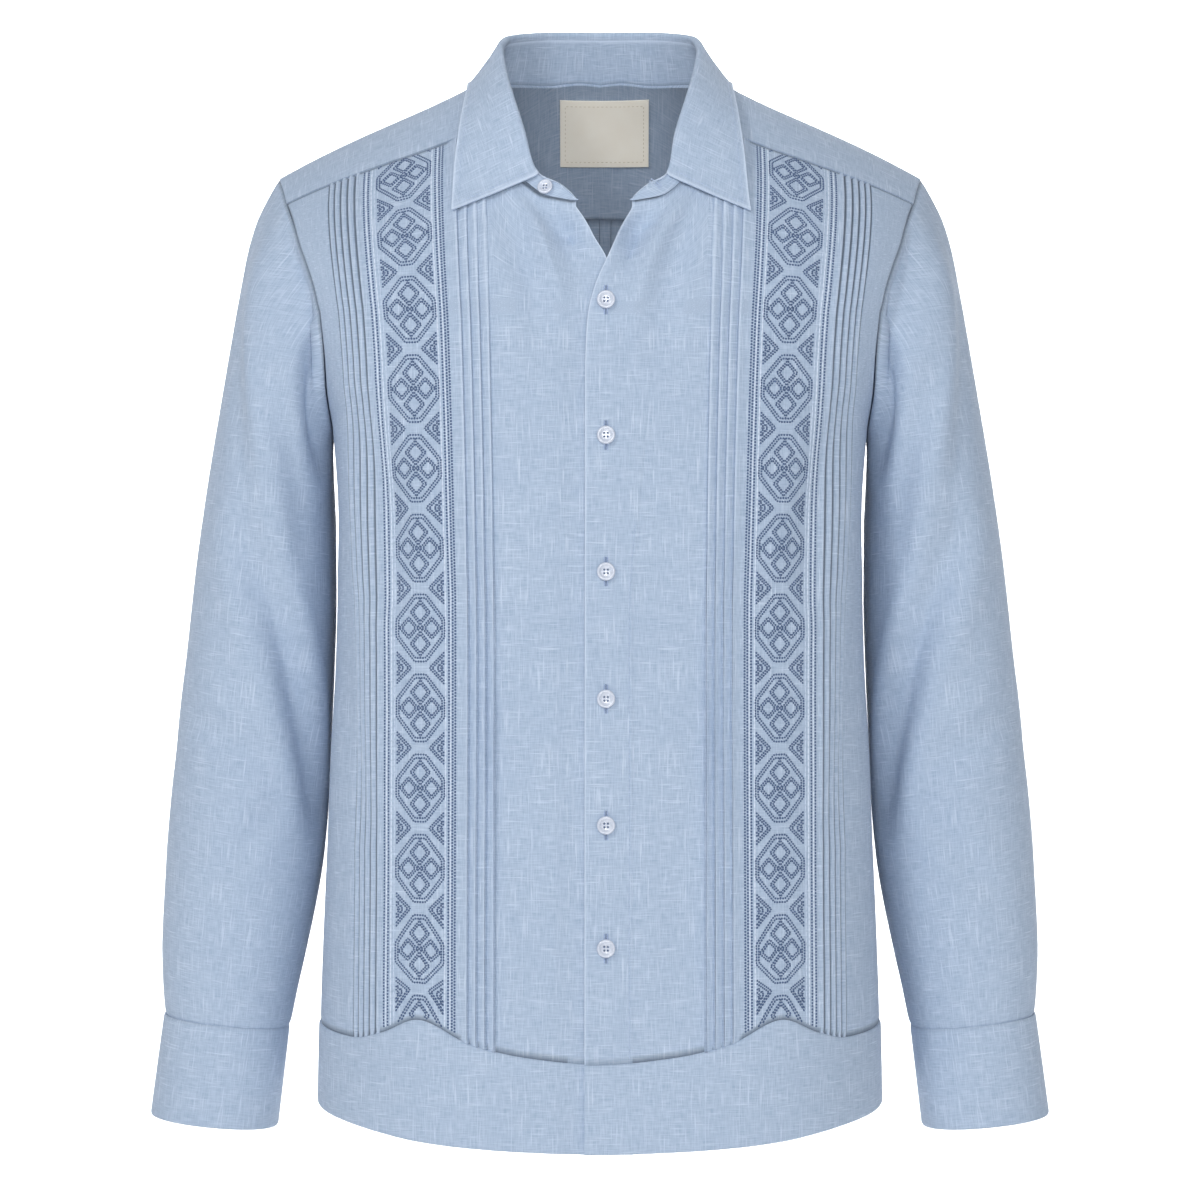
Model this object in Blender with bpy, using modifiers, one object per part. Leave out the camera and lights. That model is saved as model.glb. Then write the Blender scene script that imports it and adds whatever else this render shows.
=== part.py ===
"""A long-sleeved guayabera shirt in linen, hollow and filled out as it is when worn.

Metres, +Z up. The front faces -Y and the wearer's left is +X. The origin is between the shoulders, level
with the points where the collar meets them, at half the shirt's depth.

Every panel is a sheet laid on one body form and given the cloth's thickness with Solidify. The form is a
row of rounded sections up to the chest. Above the chest it closes over the shoulder ridge, and a point there
is placed by its distance from the centre and by its angle round the ridge: -90 degrees is the chest in
front, 0 the ridge and 90 the back. Each seam is left open by a small gap.
"""

import math

import bmesh
import bpy
import numpy as np
from mathutils import Matrix, Vector
from mathutils.bvhtree import BVHTree

# ---------------------------------------------------------------- driving dimensions
CLOTH = 0.0012  # wall of a panel
SEAM_GAP = 0.0005  # clear space at a seam
SQUARENESS = 2.9  # of the body's sections, where 2 is an ellipse
FRONT_ROUNDING = 1.5  # of the shoulder in front of its ridge
BACK_ROUNDING = 2.0  # of the shoulder behind its ridge
CHEST_TOP = -0.150  # height where the shoulder starts to round over
UNDERARM = -0.222  # height of the lowest point of the armhole
YOKE_FRONT_ANGLE = -36.0  # the yoke's front seam, round the ridge
YOKE_BACK_ANGLE = 66.5  # the yoke's back seam at the centre, round the ridge
YOKE_BACK_RISE = 6.5  # how much nearer the ridge that seam is at the armhole
GRAIN_SPREAD = 0.115  # how far the fronts' lines open out towards the yoke
TUCK_PITCH = 0.0054  # across one pintuck
TUCK_LIFT = 0.0009  # height of a pintuck's folded edge
TUCK_STEP = 0.0010  # width of the drop beside that edge
INNER_TUCKS = 4
INNER_TUCK_START = 0.0652  # from the centre to the first pintuck
OUTER_TUCKS = 5
OUTER_TUCK_PITCH = 0.0056
BAND_INNER = 0.0905  # stitched band's edges from the centre
BAND_OUTER = 0.1345
BACK_TUCKS = 4
BACK_TUCK_PITCH = 0.0078
BACK_TUCK_CENTRE = 0.0032
UNDERLAP_DROP = 0.0021  # how far the right front sits behind the left at the closure
HEM_LIFT = 0.0005  # the hem band stands this far proud of the panels
CLOSURE_SHIFT = 0.0025  # the neck's front ends sit this far to the wearer's left
COLLAR_FOLD = 0.0026  # radius of the collar's fold
COLLAR_SEAM = 0.0062  # from that fold down the inside to the seam of the stand and the leaf
COLLAR_CLEAR = 0.0036  # from the shirt to the collar leaf's upper side
BUTTON_RADIUS = 0.0057
BUTTON_THICKNESS = 0.0024
COLLAR_BUTTON_RADIUS = 0.0049
BUTTON_LINE = 0.0037  # the front buttons' distance from the centre
BUTTON_HEIGHTS = (-0.1465, -0.2302, -0.3140, -0.3922, -0.4696, -0.5448)
LABEL_SIDES = (-0.027, 0.033)
LABEL_ENDS = (-0.0380, 0.0035)
LABEL_THICKNESS = 0.0010
CUFF_OVERLAP = 26.0  # degrees of the cuff that lie double
CUFF_OPENING = 122.0  # where the overlap ends, in degrees from the cuff's outer side towards the back
CUFF_LAYER = 0.0019  # from one layer of the overlap to the next

LINEN = (0.43, 0.55, 0.74, 1.0)
PEARL = (0.72, 0.76, 0.83, 1.0)
SATIN = (0.62, 0.56, 0.46, 1.0)


class Table:
    """Rows of named sizes, read between the rows along a smooth curve that never overshoots them."""

    def __init__(self, columns, *rows):
        values = np.array(rows, float).T
        self.place = values[0]
        self.columns = dict(zip(columns.split()[1:], values[1:]))

    def __call__(self, column, place):
        x, y = self.place, self.columns[column]
        step = np.diff(x)
        slope = np.diff(y) / step
        before, after = slope[:-1], slope[1:]
        safe = np.where(before * after > 0, before + after, 1.0)
        inner = np.where(before * after > 0, 2 * before * after / safe, 0.0)
        tangent = np.concatenate([slope[:1], inner, slope[-1:]])
        at = np.clip(place, x[0], x[-1])
        i = np.clip(np.searchsorted(x, at) - 1, 0, len(step) - 1)
        t = (at - x[i]) / step[i]
        return (
            y[i] * (1 + 2 * t) * (1 - t) ** 2
            + y[i + 1] * (3 - 2 * t) * t**2
            + tangent[i] * step[i] * t * (1 - t) ** 2
            + tangent[i + 1] * step[i] * t**2 * (t - 1)
        )


# Sections of the body, from the hem up. The breadth is half of the whole, and the depths start at the middle.
TORSO = Table(
    "height breadth front back",
    (-0.675, 0.1815, 0.1370, 0.1310),
    (-0.600, 0.1800, 0.1340, 0.1275),
    (-0.480, 0.1755, 0.1280, 0.1210),
    (-0.364, 0.1706, 0.1240, 0.1170),
    (-0.280, 0.1687, 0.1235, 0.1160),
    (-0.222, 0.1720, 0.1215, 0.1155),
    (-0.185, 0.1830, 0.1190, 0.1150),
    (-0.150, 0.1965, 0.1160, 0.1150),
    (-0.107, 0.2120, 0.1160, 0.1150),
    (-0.050, 0.2220, 0.1160, 0.1150),
)

# Height of the shoulder's ridge by distance from the centre. Inside the neck it is only a guide.
RIDGE = Table(
    "across height",
    (0.000, 0.0460),
    (0.012, 0.0450),
    (0.030, 0.0385),
    (0.055, 0.0204),
    (0.0785, 0.0043),
    (0.106, -0.0098),
    (0.133, -0.0218),
    (0.160, -0.0338),
    (0.183, -0.0449),
    (0.2085, -0.0585),
    (0.222, -0.0660),
)

# The armhole below the chest's top: distance from the centre in front and behind.
ARMHOLE_LOW = Table(
    "height front back",
    (-0.2220, 0.1720, 0.1720),
    (-0.2130, 0.1728, 0.1730),
    (-0.2000, 0.1737, 0.1745),
    (-0.1800, 0.1742, 0.1763),
    (-0.1500, 0.1765, 0.1805),
)

# The armhole above it, by angle round the ridge.
ARMHOLE_HIGH = Table(
    "angle across",
    (-90, 0.1765),
    (-78, 0.1798),
    (-68, 0.1846),
    (-58, 0.1905),
    (-47, 0.1955),
    (-32, 0.2020),
    (0, 0.2085),
    (32, 0.2035),
    (50, 0.1985),
    (60, 0.1945),
    (70, 0.1900),
    (90, 0.1805),
)

# How far the fronts' columns have opened towards their places at the yoke.
OPENING_OUT = Table("height share", (-0.330, 0.0), (-0.220, 0.27), (-0.150, 0.52), (-0.090, 1.0), (-0.060, 1.0))

# Front edges, as distance from the centre. The left front laps over the right one.
FRONT_EDGES = Table(
    "height left right",
    (-0.675, -0.0097, -0.0200),
    (-0.192, -0.0092, -0.0200),
    (-0.159, -0.0079, -0.0150),
    (-0.139, -0.0036, -0.0090),
    (-0.1194, 0.0046, -0.0040),
    (-0.106, 0.0108, 0.0040),
    (-0.097, 0.0151, 0.0089),
    (-0.087, 0.0200, 0.0150),
)

# Top seam and lower edge of the front hem bands, by distance from the centre.
HEM_FRONT = Table(
    "across seam edge",
    (-0.020, -0.6160, -0.6705),
    (0.000, -0.6158, -0.6705),
    (0.045, -0.6115, -0.6690),
    (0.080, -0.6035, -0.6670),
    (0.1125, -0.5895, -0.6640),
    (0.135, -0.5985, -0.6605),
    (0.155, -0.6035, -0.6570),
    (0.181, -0.6010, -0.6520),
)
HEM_BACK = Table("across seam edge", (0.0, -0.6120, -0.6660), (0.100, -0.6080, -0.6620), (0.181, -0.6010, -0.6520))

# The collar, from the centre back round to the front end, by angle round the neck. base_* place the neck seam
# on the form, fold_* is the collar's crest, and tip_* the leaf's free edge.
COLLAR = Table(
    "turn base_across base_angle fold_x fold_y fold_z tip_x tip_y tip_z",
    (0, 0.0000, 34.0, 0.0000, 0.0545, 0.0465, 0.0000, 0.0850, 0.0005),
    (25, 0.0300, 31.0, 0.0285, 0.0500, 0.0460, 0.0365, 0.0775, 0.0005),
    (50, 0.0550, 21.0, 0.0505, 0.0350, 0.0425, 0.0660, 0.0520, 0.0015),
    (70, 0.0715, 11.0, 0.0610, 0.0180, 0.0375, 0.0800, 0.0250, 0.0030),
    (90, 0.0785, 0.0, 0.0632, 0.0000, 0.0290, 0.0855, -0.0020, 0.0030),
    (105, 0.0755, -20.0, 0.0605, -0.0290, 0.0105, 0.0862, -0.0300, -0.0070),
    (120, 0.0695, -36.0, 0.0548, -0.0585, -0.0115, 0.0885, -0.0600, -0.0290),
    (135, 0.0625, -46.0, 0.0470, -0.0785, -0.0370, 0.0910, -0.0800, -0.0560),
    (150, 0.0520, -54.5, 0.0400, -0.0945, -0.0655, 0.0930, -0.0945, -0.0893),
    (160, 0.0360, -61.2, 0.0275, -0.0995, -0.0727, 0.0930, -0.0945, -0.0893),
    (170, 0.0240, -62.8, 0.0195, -0.1012, -0.0795, 0.0930, -0.0945, -0.0893),
    (175, 0.0175, -63.5, 0.0165, -0.1004, -0.0833, 0.0930, -0.0945, -0.0893),
)
LEAF_END = 150  # the leaf's front edge, round the neck
STAND_END = 175

# Sleeve sections, from the armhole down: the ends of each one under and over the arm, its middle and half
# depth from front to back, and how much it keeps of the armhole's own shape.
SLEEVE = Table(
    "ring in_x in_z out_x out_z middle depth keep",
    (1, 0.1731, -0.2270, 0.2148, -0.0690, 0.000, 0.0735, 0.90),
    (2, 0.1736, -0.2320, 0.2226, -0.0840, 0.002, 0.0730, 0.70),
    (3, 0.1739, -0.2380, 0.2290, -0.1040, 0.004, 0.0720, 0.50),
    (4, 0.1741, -0.2450, 0.2345, -0.1310, 0.007, 0.0710, 0.32),
    (5, 0.1741, -0.2530, 0.2405, -0.1650, 0.010, 0.0700, 0.18),
    (6, 0.1738, -0.2640, 0.2475, -0.2060, 0.013, 0.0690, 0.08),
    (7, 0.1732, -0.2850, 0.2555, -0.2535, 0.016, 0.0670, 0.00),
    (8, 0.1730, -0.3300, 0.2632, -0.3050, 0.018, 0.0645, 0.00),
    (9, 0.1744, -0.3800, 0.2695, -0.3600, 0.019, 0.0615, 0.00),
    (10, 0.1770, -0.4350, 0.2760, -0.4200, 0.018, 0.0590, 0.00),
    (11, 0.1802, -0.4940, 0.2818, -0.4850, 0.013, 0.0560, 0.00),
    (12, 0.1915, -0.5590, 0.2848, -0.5530, 0.006, 0.0490, 0.00),
    (13, 0.1965, -0.5820, 0.2840, -0.5760, 0.003, 0.0455, 0.00),
    (14, 0.2018, -0.6090, 0.2820, -0.6005, 0.000, 0.0420, 0.00),
)
CUFF = Table(
    "end in_x in_z out_x out_z middle depth",
    (0, 0.2018, -0.6090, 0.2822, -0.6005, 0.000, 0.0422),
    (1, 0.2090, -0.6720, 0.2905, -0.6635, -0.002, 0.0427),
)
SLEEVE_SQUARENESS = 2.2

# Main sleeve folds: where each starts and ends, as height and degrees from the outer side (negative is in
# front), with its depth and half width.
SLEEVE_FOLDS = (
    {"top": (-0.270, -78), "end": (-0.470, -128), "depth": 0.0035, "width": 22},
    {"top": (-0.240, -150), "end": (-0.330, -165), "depth": 0.0025, "width": 18},
    {"top": (-0.300, 70), "end": (-0.480, 110), "depth": 0.0030, "width": 24},
)


# ---------------------------------------------------------------- the body form
def between(a, b, share):
    return a + (b - a) * share


def rim(across, height):
    """The share of the full depth that is left at a distance from the centre."""
    reach = np.clip(np.abs(across) / TORSO("breadth", height), 0.0, 1.0)
    return (1 - reach**SQUARENESS) ** (1 / SQUARENESS)


def on_body(across, height, side):
    """A point on the form below the chest's top. side is -1 in front and 1 behind."""
    depth = TORSO("front" if side < 0 else "back", height)
    return np.array([across, side * depth * rim(across, height), height])


def on_shoulder(across, angle):
    """A point on the form above the chest's top, by its angle round the ridge."""
    front = angle < 0
    power = 2 / (FRONT_ROUNDING if front else BACK_ROUNDING)
    turn = math.radians(abs(angle))
    height = between(CHEST_TOP, RIDGE("height", abs(across)), max(math.cos(turn), 0.0) ** power)
    depth = TORSO("front" if front else "back", height)
    return np.array([across, math.copysign(1, angle) * depth * rim(across, height) * math.sin(turn) ** power, height])


def surface_height(across, forward):
    """The form's height over a place on the shoulders, where forward is the distance from the ridge."""
    front = forward < 0
    depth = TORSO("front" if front else "back", -0.05) * rim(across, -0.05)
    power = (FRONT_ROUNDING if front else BACK_ROUNDING) / 2
    turn = math.asin(min((abs(forward) / depth) ** power, 1.0))
    return between(CHEST_TOP, RIDGE("height", abs(across)), math.cos(turn) ** (1 / power))


def front_depth_at(across, height):
    """The form's distance in front of the middle at a place on the chest or the shoulder's front."""
    depth = TORSO("front", height) * rim(across, height)
    if height <= CHEST_TOP:
        return depth
    rise = (height - CHEST_TOP) / (RIDGE("height", abs(across)) - CHEST_TOP)
    return depth * max(1 - min(rise, 1.0) ** FRONT_ROUNDING, 0.0) ** (1 / FRONT_ROUNDING)


def across_from_depth(share, height):
    """The inverse of rim."""
    return TORSO("breadth", height) * (1 - share**SQUARENESS) ** (1 / SQUARENESS)


def step_along(start, length, height=-0.364):
    """Moves out round a section by a length of cloth, and gives the new distance from the centre."""
    across, step = start, 0.0001
    walked = 0.0
    while walked < length:
        here = on_body(across, height, -1)
        across += step
        walked += float(np.linalg.norm(on_body(across, height, -1) - here))
    return across


# ---------------------------------------------------------------- sheets
def normals_of(grid, closed=False):
    """Unit normals of a grid of points, from its rows and columns."""
    if closed:
        around = np.roll(grid, -1, axis=1) - np.roll(grid, 1, axis=1)
    else:
        around = np.gradient(grid, axis=1)
    normal = np.cross(around, np.gradient(grid, axis=0))
    return normal / np.maximum(np.linalg.norm(normal, axis=2, keepdims=True), 1e-12)


def pull_in(grid, rows=(True, True), columns=(True, True), amount=SEAM_GAP / 2):
    """Moves a sheet's borders in by half of a seam's gap, or by the amount given."""
    grid = grid.copy()

    def move(border, neighbour):
        way = neighbour - border
        return border + way / np.linalg.norm(way, axis=-1, keepdims=True) * amount

    if rows[0]:
        grid[0] = move(grid[0], grid[1])
    if rows[1]:
        grid[-1] = move(grid[-1], grid[-2])
    if columns[0]:
        grid[:, 0] = move(grid[:, 0], grid[:, 1])
    if columns[1]:
        grid[:, -1] = move(grid[:, -1], grid[:, -2])
    return grid


def mirrored(grid):
    return grid * np.array([-1.0, 1.0, 1.0])


def material(name, colour, roughness):
    made = bpy.data.materials.get(name)
    if made is None:
        made = bpy.data.materials.new(name)
        made.use_nodes = True
        shader = made.node_tree.nodes["Principled BSDF"]
        shader.inputs["Base Color"].default_value = colour
        shader.inputs["Roughness"].default_value = roughness
        shader.inputs["Metallic"].default_value = 0.0
    return made


def add_object(name, mesh, colour, roughness):
    made = bpy.data.objects.new(name, mesh)
    made.data.materials.append(material(name + "_finish", colour, roughness))
    collection.objects.link(made)
    return made


def sheet(name, grid, closed=False, flipped=False, colour=LINEN, thickness=CLOTH):
    """A cloth panel: a grid of points as an open surface, thickened inwards."""
    work = bmesh.new()
    rows, columns = grid.shape[:2]
    points = [[work.verts.new(grid[r, c]) for c in range(columns)] for r in range(rows)]
    for r in range(rows - 1):
        for c in range(columns if closed else columns - 1):
            after = (c + 1) % columns
            corners = [points[r][c], points[r][after], points[r + 1][after], points[r + 1][c]]
            work.faces.new(corners[::-1] if flipped else corners)
    mesh = bpy.data.meshes.new(name)
    work.to_mesh(mesh)
    work.free()
    mesh.shade_smooth()
    made = add_object(name, mesh, colour, 0.85)
    wall = made.modifiers.new("wall", "SOLIDIFY")
    wall.thickness = thickness
    wall.offset = -1.0
    return made


# ---------------------------------------------------------------- fronts
def tuck_columns():
    """The fronts' columns over the tucks and the band: distance from the centre and lift."""
    half = TUCK_STEP / 2
    columns = []
    for tuck in range(INNER_TUCKS):
        edge = INNER_TUCK_START + tuck * TUCK_PITCH
        columns += [(edge - half, 0.0), (edge + half, TUCK_LIFT)]
    columns += [(INNER_TUCK_START + INNER_TUCKS * TUCK_PITCH, 0.0)]
    columns += [(BAND_INNER, 0.0), ((BAND_INNER + BAND_OUTER) / 2, 0.0), (BAND_OUTER, 0.0)]
    for tuck in range(OUTER_TUCKS):
        edge = step_along(BAND_OUTER, (tuck + 0.9) * OUTER_TUCK_PITCH)
        columns += [(edge - half * 0.7, TUCK_LIFT), (edge + half * 0.7, 0.0)]
    return columns


PLACKET_COLUMNS = ((0.0003, 0.0360), (0.0200, 0.0520), (0.0400, 0.0625), (0.0575, 0.0695))  # low and at the neck
SIDE_SHARES = (0.2, 0.45, 0.72, 1.0)
LOW_ROWS = (-0.500, -0.400, -0.310, -0.250, -0.222, -0.213, -0.200, -0.180, -0.150)
HIGH_SHARES = (1 / 3, 2 / 3, 1.0)
ARMHOLE_ROW = 5  # the row of a panel that meets the armhole's lowest point


def neck_angle(across):
    """Angle round the ridge of the front neck seam at a distance from the centre."""
    order = np.argsort(COLLAR.columns["base_across"][5:])
    places = COLLAR.columns["base_across"][5:][order]
    angles = COLLAR.columns["base_angle"][5:][order]
    return float(np.interp(across, places, angles))


def side_columns(inner, outer, height):
    """Columns from the last fixed one to the side seam or the armhole, by their depth."""
    first, last = rim(inner, height), rim(outer, height)
    return [float(across_from_depth(between(first, last, share), height)) for share in SIDE_SHARES]


def side_seam(height):
    return np.array([float(TORSO("breadth", height)), 0.0, height])


def front_grid(hand):
    """A front's points, from its hem seam up and from its edge out, as if on the wearer's left."""
    shift = CLOSURE_SHIFT if hand == "left" else -CLOSURE_SHIFT
    fixed = tuck_columns()
    lows = [low for low, top in PLACKET_COLUMNS] + [across for across, lift in fixed]
    tops = [top for low, top in PLACKET_COLUMNS] + [across * (1 + GRAIN_SPREAD) for across, lift in fixed]
    grid = []
    for row in range(len(LOW_ROWS) + 1):
        nominal = -0.600 if row == 0 else LOW_ROWS[row - 1]
        share = float(OPENING_OUT("share", nominal))
        across = [float(FRONT_EDGES(hand, nominal))] + [between(a, b, share) for a, b in zip(lows, tops)]
        outer = float(ARMHOLE_LOW("front", nominal)) if nominal > UNDERARM else float(TORSO("breadth", nominal))
        across += side_columns(across[-1], outer, nominal)
        heights = [float(HEM_FRONT("seam", x)) if row == 0 else nominal for x in across]
        grid.append([on_body(x, z, -1) for x, z in zip(across, heights)])
        if nominal <= UNDERARM:
            grid[-1][-1] = side_seam(heights[-1])
    reach = [(x - across[-5]) / (across[-1] - across[-5]) for x in across[-4:]]
    end_across = 0.0175 + shift
    for high in HIGH_SHARES:
        share = float(OPENING_OUT("share", between(CHEST_TOP, -0.085, high)))
        edge_angle = between(-90, neck_angle(end_across), high)
        edge = float(FRONT_EDGES(hand, on_shoulder(0.01, edge_angle)[2]))
        line = [on_shoulder(edge if high < 1 else end_across, edge_angle)]
        for low, top in zip(lows, tops):
            limit = neck_angle(top) if top < 0.0696 else YOKE_FRONT_ANGLE
            line.append(on_shoulder(between(low, top, share), between(-90, limit, high)))
        angle = between(-90, YOKE_FRONT_ANGLE, high)
        outer = float(ARMHOLE_HIGH("across", angle))
        last = between(lows[-1], tops[-1], share)
        line += [on_shoulder(between(last, outer, part), angle) for part in reach]
        grid.append(line)
    lifts = [0.0] * (1 + len(PLACKET_COLUMNS)) + [lift for across, lift in fixed] + [0.0] * len(SIDE_SHARES)
    return np.array(grid), np.array(lifts)


def ease(share):
    share = np.clip(share, 0.0, 1.0)
    return share * share * (3 - 2 * share)


def closure_drop(grid):
    """How far the right front sits behind the left one. It fades out sideways and up the open neck."""
    return -UNDERLAP_DROP * (1 - ease((grid[..., 0] - 0.012) / 0.020)) * (1 - ease((grid[..., 2] + 0.115) / 0.027))


def make_front(hand):
    grid, lifts = front_grid(hand)
    raised = grid + normals_of(grid) * lifts[None, :, None]
    if hand == "right":
        raised = raised + normals_of(grid) * closure_drop(grid)[..., None]
    panel = pull_in(raised, columns=(False, True))
    left = hand == "left"
    return sheet("front_" + hand, panel if left else mirrored(panel), flipped=not left), grid


def hem_band(name, panel, table, side, drop=False, flipped=False, mirror=False, ends=(False, True)):
    """A band sewn round the lower edge, on the panel's own columns, from its free edge up to its seam."""
    rows = []
    for share in (1.0, 0.5, 0.0):
        line = []
        for x, y, z in panel[0]:
            place = x if side < 0 else abs(x)
            height = between(float(table("seam", place)), float(table("edge", place)), share)
            wider = float(TORSO("breadth", height)) / float(TORSO("breadth", z))
            line.append(on_body(x * between(1.0, wider, ease((abs(x) - 0.12) / 0.05)), height, side))
            if y == 0.0:
                line[-1] = side_seam(height) * np.array([1 if x > 0 else -1, 1, 1])
        rows.append(line)
    grid = np.array(rows)
    lift = HEM_LIFT + (closure_drop(grid) if drop else 0.0)
    grid = pull_in(grid + normals_of(grid) * np.broadcast_to(lift, grid.shape[:2])[..., None], (False, True), ends)
    return sheet(name, mirrored(grid) if mirror else grid, flipped=flipped)


# ---------------------------------------------------------------- back and yoke
BACK_COLUMNS = (0.030, 0.058, 0.090, 0.122)


def yoke_back_angle(across):
    return YOKE_BACK_ANGLE - YOKE_BACK_RISE * (across / 0.2) ** 2


def back_grid():
    """The back's points, from its hem seam up and from the wearer's left to the right."""
    tucks = []
    for tuck in range(BACK_TUCKS):
        edge = BACK_TUCK_CENTRE + (tuck - (BACK_TUCKS - 1) / 2) * BACK_TUCK_PITCH
        tucks += [(edge - TUCK_STEP / 2, TUCK_LIFT), (edge + TUCK_STEP / 2, 0.0)]
    middle = [(tucks[0][0] - BACK_TUCK_PITCH, 0.0)] + tucks
    grid = []
    for row in range(len(LOW_ROWS) + 1):
        nominal = -0.600 if row == 0 else LOW_ROWS[row - 1]
        outer = float(ARMHOLE_LOW("back", nominal)) if nominal > UNDERARM else float(TORSO("breadth", nominal))
        half = list(BACK_COLUMNS) + side_columns(BACK_COLUMNS[-1], outer, nominal)
        across = half[::-1] + [x for x, lift in middle[::-1]] + [-x for x in half]
        heights = [float(HEM_BACK("seam", abs(x))) if row == 0 else nominal for x in across]
        grid.append([on_body(x, z, 1) for x, z in zip(across, heights)])
        if nominal <= UNDERARM:
            grid[-1][0] = side_seam(heights[0])
            grid[-1][-1] = side_seam(heights[-1]) * np.array([-1, 1, 1])
    reach = [(x - BACK_COLUMNS[-1]) / (half[-1] - BACK_COLUMNS[-1]) for x in half[-4:]]
    for high in (0.5, 1.0):
        edge = between(90, yoke_back_angle(0.1945), high)
        outer = float(ARMHOLE_HIGH("across", edge))
        half = list(BACK_COLUMNS) + [between(BACK_COLUMNS[-1], outer, part) for part in reach]
        across = half[::-1] + [x for x, lift in middle[::-1]] + [-x for x in half]
        grid.append([on_shoulder(x, between(90, yoke_back_angle(x), high)) for x in across])
    lifts = [0.0] * len(half) + [lift for x, lift in middle[::-1]] + [0.0] * len(half)
    return np.array(grid), np.array(lifts)


YOKE_RAYS = (  # place round the neck, and where the ray from there ends: at the armhole, or at a back column
    {"turn": 120, "angle": YOKE_FRONT_ANGLE},
    {"turn": 105, "angle": -18},
    {"turn": 90, "angle": 0},
    {"turn": 80, "angle": 20},
    {"turn": 70, "angle": 40},
    {"turn": 60, "column": 0},
    {"turn": 56, "column": 1},
    {"turn": 52, "column": 2},
    {"turn": 47, "column": 3},
    {"turn": 42, "column": 4},
    {"turn": 34, "column": 5},
    {"turn": 24, "column": 6},
    {"turn": 14, "column": 7},
    {"turn": 7, "column": 8},
    {"turn": 0, "column": None},
)
YOKE_STEPS = 6


def yoke_grid(back_across):
    """The yoke's points, from its outer seams to the neck and from the wearer's left front round to the right."""
    columns = []
    for ray in YOKE_RAYS:
        near = [float(COLLAR(key, ray["turn"])) for key in ("base_across", "base_angle")]
        if "angle" in ray:
            far = [float(ARMHOLE_HIGH("across", ray["angle"])), ray["angle"]]
        else:
            across = 0.0 if ray["column"] is None else float(back_across[ray["column"]])
            far = [across, yoke_back_angle(across)]
        steps = [i / YOKE_STEPS for i in range(YOKE_STEPS + 1)]
        columns.append([on_shoulder(between(far[0], near[0], t), between(far[1], near[1], t)) for t in steps])
    left = np.array(columns).transpose(1, 0, 2)
    return np.concatenate([left, mirrored(left[:, -2::-1])], axis=1)


# ---------------------------------------------------------------- sleeves
def rounded(angle):
    """A unit superellipse: the shares along and across a section at an angle from its outer side."""
    power = 2 / SLEEVE_SQUARENESS
    c, s = math.cos(angle), math.sin(angle)
    return math.copysign(abs(c) ** power, c), math.copysign(abs(s) ** power, s)


def fold_depth(height, degrees):
    """How deep the sleeve's main folds press in at a place."""
    deep = 0.0
    for fold in SLEEVE_FOLDS:
        (top, start), (end, finish) = fold["top"], fold["end"]
        share = (top - height) / (top - end)
        if -0.25 < share < 1.25:
            away = (degrees - between(start, finish, min(max(share, 0), 1)) + 180) % 360 - 180
            along = math.sin(math.pi * (share + 0.25) / 1.5) ** 2
            deep += fold["depth"] * along * math.exp(-((away / fold["width"]) ** 2))
    return deep


def sleeve_grid(loop):
    """The left sleeve's rings. The first is the armhole itself, and the others draw in to a rounded section."""
    inner, outer = np.array([0.172, -0.222]), np.array([0.2085, -0.0585])
    middle, along = (inner + outer) / 2, (outer - inner) / 2
    away = np.array([along[1], -along[0]]) / np.linalg.norm(along)
    depth = 0.0735
    shape = []
    for x, y, z in loop:
        place = np.array([x, z]) - middle
        a, b = float(place @ along / (along @ along)), y / depth
        power = SLEEVE_SQUARENESS / 2
        turn = math.atan2(math.copysign(abs(b) ** power, b), math.copysign(abs(a) ** power, a))
        shape.append((a, b, float(place @ away), turn))
    rings = [[p + np.array([away[0], 0.0, away[1]]) * SEAM_GAP for p in loop]]
    for ring in SLEEVE.place:
        row = {key: float(SLEEVE(key, ring)) for key in SLEEVE.columns}
        start, end = np.array([row["in_x"], row["in_z"]]), np.array([row["out_x"], row["out_z"]])
        centre, reach = (start + end) / 2, (end - start) / 2
        across = np.array([reach[1], -reach[0]]) / np.linalg.norm(reach)
        line = []
        for a, b, off, turn in shape:
            c, s = rounded(turn)
            press = 1 - fold_depth(centre[1] + 0.5 * c * reach[1], math.degrees(turn)) / row["depth"]
            a = between(c, a, row["keep"]) * press
            b = between(s, b, row["keep"]) * press
            x, z = centre + reach * a + across * off * row["keep"]
            line.append(np.array([x, row["middle"] + row["depth"] * b, z]))
        rings.append(line)
    return np.array(rings)


def cuff_grid():
    """The left cuff: a strip wound once round the wrist and on over its own start."""
    rows = []
    steps = 22
    for share in (1.0, 0.5, 0.0):
        row = {key: float(CUFF(key, share)) for key in CUFF.columns}
        start, end = np.array([row["in_x"], row["in_z"]]), np.array([row["out_x"], row["out_z"]])
        centre, reach = (start + end) / 2, (end - start) / 2
        line = []
        for step in range(steps + 1):
            turned = (360 + CUFF_OVERLAP) * step / steps
            c, s = rounded(math.radians(CUFF_OPENING - CUFF_OVERLAP + turned))
            outset = CUFF_LAYER * (turned / 360 - 0.5)
            x, z = centre + reach * c * (1 + outset / np.linalg.norm(reach))
            line.append(np.array([x, row["middle"] + (row["depth"] + outset) * s, z]))
        rows.append(line)
    return np.array(rows)


# ---------------------------------------------------------------- collar
def form_tree():
    """The body form's shoulders as a tree for nearest points."""
    lines = []
    for i in range(61):
        across = between(-0.205, 0.205, i / 60)
        lines.append([on_body(across, -0.24, -1), on_body(across, -0.19, -1)])
        lines[-1] += [on_shoulder(across, between(-89.9, 90, j / 60)) for j in range(61)]
    count = len(lines[0])
    points = [Vector(p) for line in lines for p in line]
    faces = []
    for i in range(60):
        for j in range(count - 1):
            k = i * count + j
            faces.append((k, k + count, k + count + 1, k + 1))
    return BVHTree.FromPolygons(points, faces)


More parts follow.
